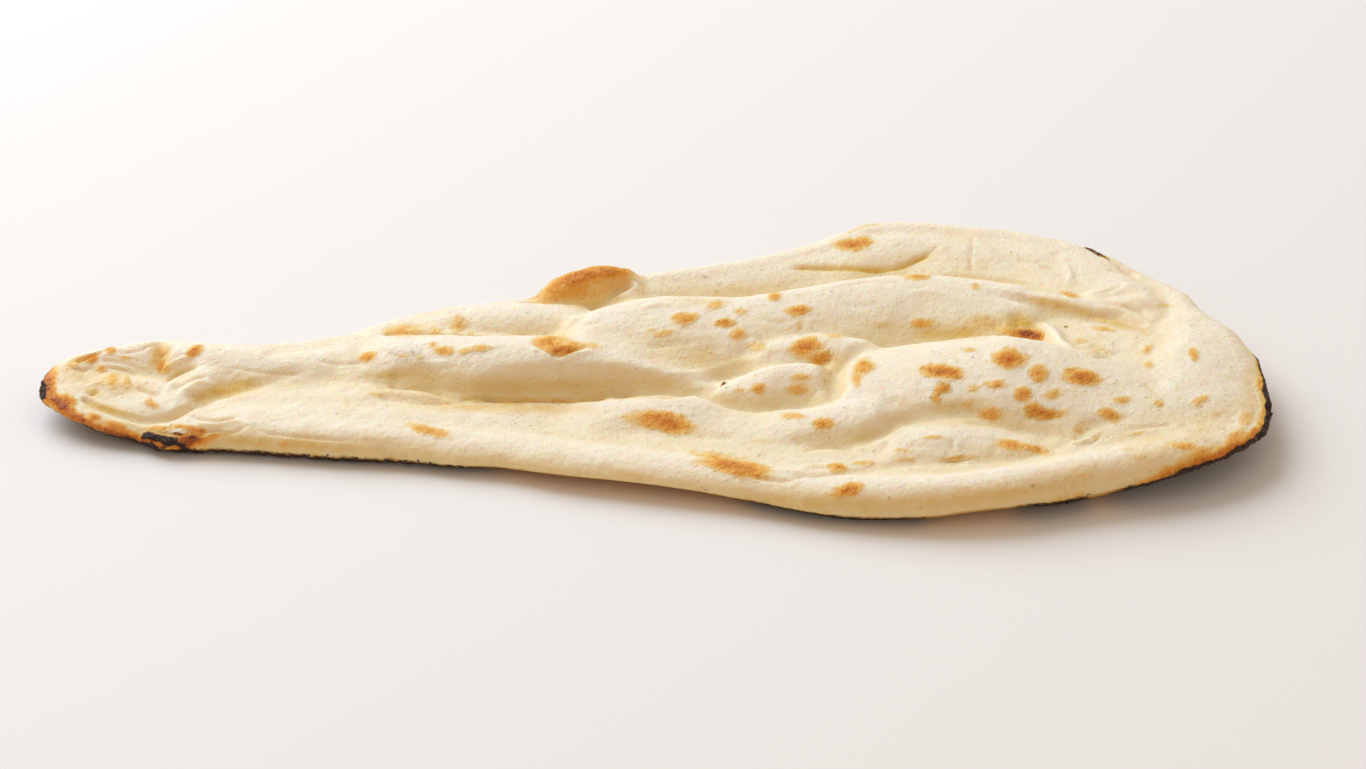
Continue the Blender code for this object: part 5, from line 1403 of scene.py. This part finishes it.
class NAAN_OT_bake_crust(bpy.types.Operator):
    """Makes the bread's crust with its relief and bake."""

    bl_idname = "naan.bake_crust"
    bl_label = "Bake the crust"

    def execute(self, context):
        scene = context.scene
        form = scene.naan_form
        mesh, on_top, rolls = bread_mesh(form)
        view = CrustView(mesh)
        points = view.points
        toast_edge, char_edge = edge_bake(points, rolls)
        top = np.where(on_top, 1.0, eased((rolls + SPOT_TURN) / SPOT_TURN))
        toast = patch_field(view, TOASTED_SPOTS, *TOASTED_FADE) * top
        blister = patch_field(view, BLISTER_SPOTS, *BLISTER_FADE) * top
        scorched = patch_field(view, SCORCHED_SPOTS, *SCORCHED_FADE) * top
        under = UNDER_TOAST * eased(-rolls / UNDER_TOAST_TURN)
        toast = 1 - (1 - toast) * (1 - blister) * (1 - EDGE_TOAST * toast_edge) * (1 - under)
        char = np.maximum(patch_field(view, CHARRED_SPOTS, *CHARRED_FADE) * top, char_edge)
        # The wrinkles' golden grooves and many thin patches are painted shade
        wrinkles, golden = wrinkle_relief(view, form.wrinkle_depth)
        thin = np.maximum(patch_field(view, THIN_SKIN_AND_SHADE_SPOTS, *THIN_FADE), golden) * on_top
        set_field(mesh, "toast", np.maximum(toast, char) + SCORCH_DEPTH * scorched)
        set_field(mesh, "char", char)
        set_field(mesh, "thin", np.maximum(thin, eased(-rolls / UNDER_THIN_TURN)))
        set_field(mesh, "flaked", patch_field(view, FLAKED_SPOTS, *FLAKED_FADE) * on_top)
        # Hollow and flank darken the crust's colour as painted shade
        set_field(mesh, "hollow", hollows(points, on_top))
        set_field(mesh, "flank", flanks(mesh))
        set_field(mesh, "relief", np.where(on_top, 1.0, eased((rolls + RELIEF_TURN) / RELIEF_TURN_FADE)))
        points[:, 2] += wrinkles * on_top
        mesh.vertices.foreach_set("co", points.ravel())
        mesh.update()
        bake = scene.naan_bake
        groups = {"grain": grain_group(), "bake": bake_group(bake), "crackle": crackle_group()}
        tree = relief_tree(crust_material(groups, bake))
        sizes = {label: getattr(form, setting) for label, setting in RELIEF_SIZES.items()}
        crust = grown_mesh(mesh, tree, {**sizes, "Seed": RELIEF_SEED})
        keep_in_frame(crust)
        piece = add_piece("naan_crust", crust)
        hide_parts("naan")
        return {"FINISHED"}


class NAAN_OT_scatter_char(bpy.types.Operator):
    """Scatters curled char flakes on the burnt edges."""

    bl_idname = "naan.scatter_char"
    bl_label = "Scatter char flakes"

    def execute(self, context):
        scene = context.scene
        groups = {"crackle": bpy.data.node_groups["char crackle"]}
        material = char_flake_material(groups, scene.naan_bake)
        tree = scatter_tree("char flakes", "char", CHAR_CHIP, CHAR_TILT, material)
        scatter(tree, "char_flakes", scene.naan_scraps.char_density, scene.naan_scraps.char_size, scene)
        return {"FINISHED"}


class NAAN_OT_lift_skin(bpy.types.Operator):
    """Lifts small bits of dry skin where the crust has flaked."""

    bl_idname = "naan.lift_skin"
    bl_label = "Lift flaked skin"

    def execute(self, context):
        scene = context.scene
        groups = {"grain": bpy.data.node_groups["bread grain"], "bake": bpy.data.node_groups["bake colour"]}
        tree = scatter_tree("skin flakes", "flaked", SKIN_CHIP, SKIN_TILT, skin_flake_material(groups))
        scatter(tree, "skin_flakes", scene.naan_scraps.skin_density, scene.naan_scraps.skin_size, scene)
        return {"FINISHED"}


def scatter(tree, name, density, size, scene):
    """Adds the chips that a scatter tree grows on the crust as one piece."""
    crust = bpy.data.objects["naan_crust"].data
    chips = grown_mesh(crust, tree, {"Density": density, "Size": size, "Seed": scene.naan_scraps.seed})
    if not chips.polygons:
        raise RuntimeError(f"no chips were made for {name}")
    keep_in_frame(chips)
    add_piece(name, chips)


class NAAN_OT_set_stage(bpy.types.Operator):
    """Makes the table top, the soft light and the photograph's camera."""

    bl_idname = "naan.set_stage"
    bl_label = "Set the stage"

    def execute(self, context):
        scene = context.scene
        stage = scene.naan_stage
        mesh = bpy.data.meshes.new("table_top")
        signs = ((-1, -1), (1, -1), (1, 1), (-1, 1))
        corners = [(x * TABLE_HALF, y * TABLE_HALF, TABLE_DROP) for x, y in signs]
        mesh.from_pydata(corners, [], [(0, 1, 2, 3)])
        table = new_object("table_top", mesh)
        material, tree, shader = new_material("table_top")
        colour = solid(stage.table_colour)
        fill(tree, shader, {"Base Color": colour, "Roughness": 0.7, "Specular IOR Level": 0.25})
        mesh.materials.append(material)
        world = bpy.data.worlds.new("studio")
        world.use_nodes = True
        tree = world.node_tree
        direction = place(tree, "ShaderNodeTexCoord").outputs["Generated"]
        height = place(tree, "ShaderNodeSeparateXYZ", {0: direction}).outputs["Z"]
        above = ranged(tree, height, 0.0, GLOW_HEIGHT)
        glow = mixed(tree, above, solid(stage.low_colour), solid(stage.high_colour))
        fill(tree, tree.nodes["Background"], {"Color": glow, "Strength": stage.fill})
        scene.world = world
        key = bpy.data.lights.new("key", "AREA")
        key.shape = "DISK"
        key.size = stage.key_size
        key.energy = stage.key_power
        key.color = stage.key_colour
        lamp = new_object("key", key)
        lamp.location = KEY_PLACE
        lamp.rotation_euler = (-lamp.location).to_track_quat("-Z", "Y").to_euler()
        camera = bpy.data.cameras.new("camera")
        camera.lens = LENS
        camera.sensor_width = SENSOR_WIDTH
        viewer = new_object("camera", camera)
        viewer.location = camera_axes()[0]
        viewer.rotation_euler = (math.pi / 2 - CAMERA_ELEVATION, 0, 0)
        scene.camera = viewer
        scene.view_settings.view_transform = "Standard"
        return {"FINISHED"}


class NAAN_PT_maker(bpy.types.Panel):
    """Lists the bread's steps and sizes in the sidebar."""

    bl_label = "Naan"
    bl_space_type = "VIEW_3D"
    bl_region_type = "UI"
    bl_category = "Naan"

    def draw(self, context):
        layout = self.layout
        for operator in OPERATORS:
            layout.operator(operator.bl_idname)
        for group in SETTINGS:
            box = layout.box()
            settings = getattr(context.scene, group)
            for name in settings.__annotations__:
                box.prop(settings, name)


SETTINGS = {"naan_form": NaanForm, "naan_bake": NaanBake, "naan_scraps": NaanScraps, "naan_stage": NaanStage}
OPERATORS = (NAAN_OT_bake_crust, NAAN_OT_scatter_char, NAAN_OT_lift_skin, NAAN_OT_set_stage)
CLASSES = (*SETTINGS.values(), *OPERATORS, NAAN_PT_maker)


def register():
    """Registers the classes and hangs the settings on the scene."""
    for kind in CLASSES:
        bpy.utils.register_class(kind)
    for name, kind in SETTINGS.items():
        setattr(bpy.types.Scene, name, PointerProperty(type=kind))


def unregister():
    """Takes the settings and the classes away again."""
    for name in SETTINGS:
        delattr(bpy.types.Scene, name)
    for kind in reversed(CLASSES):
        bpy.utils.unregister_class(kind)


def main():
    """Makes the naan and its stage."""
    register()
    bpy.ops.naan.bake_crust()
    bpy.ops.naan.scatter_char()
    bpy.ops.naan.lift_skin()
    bpy.ops.naan.set_stage()


if __name__ == "__main__":
    main()
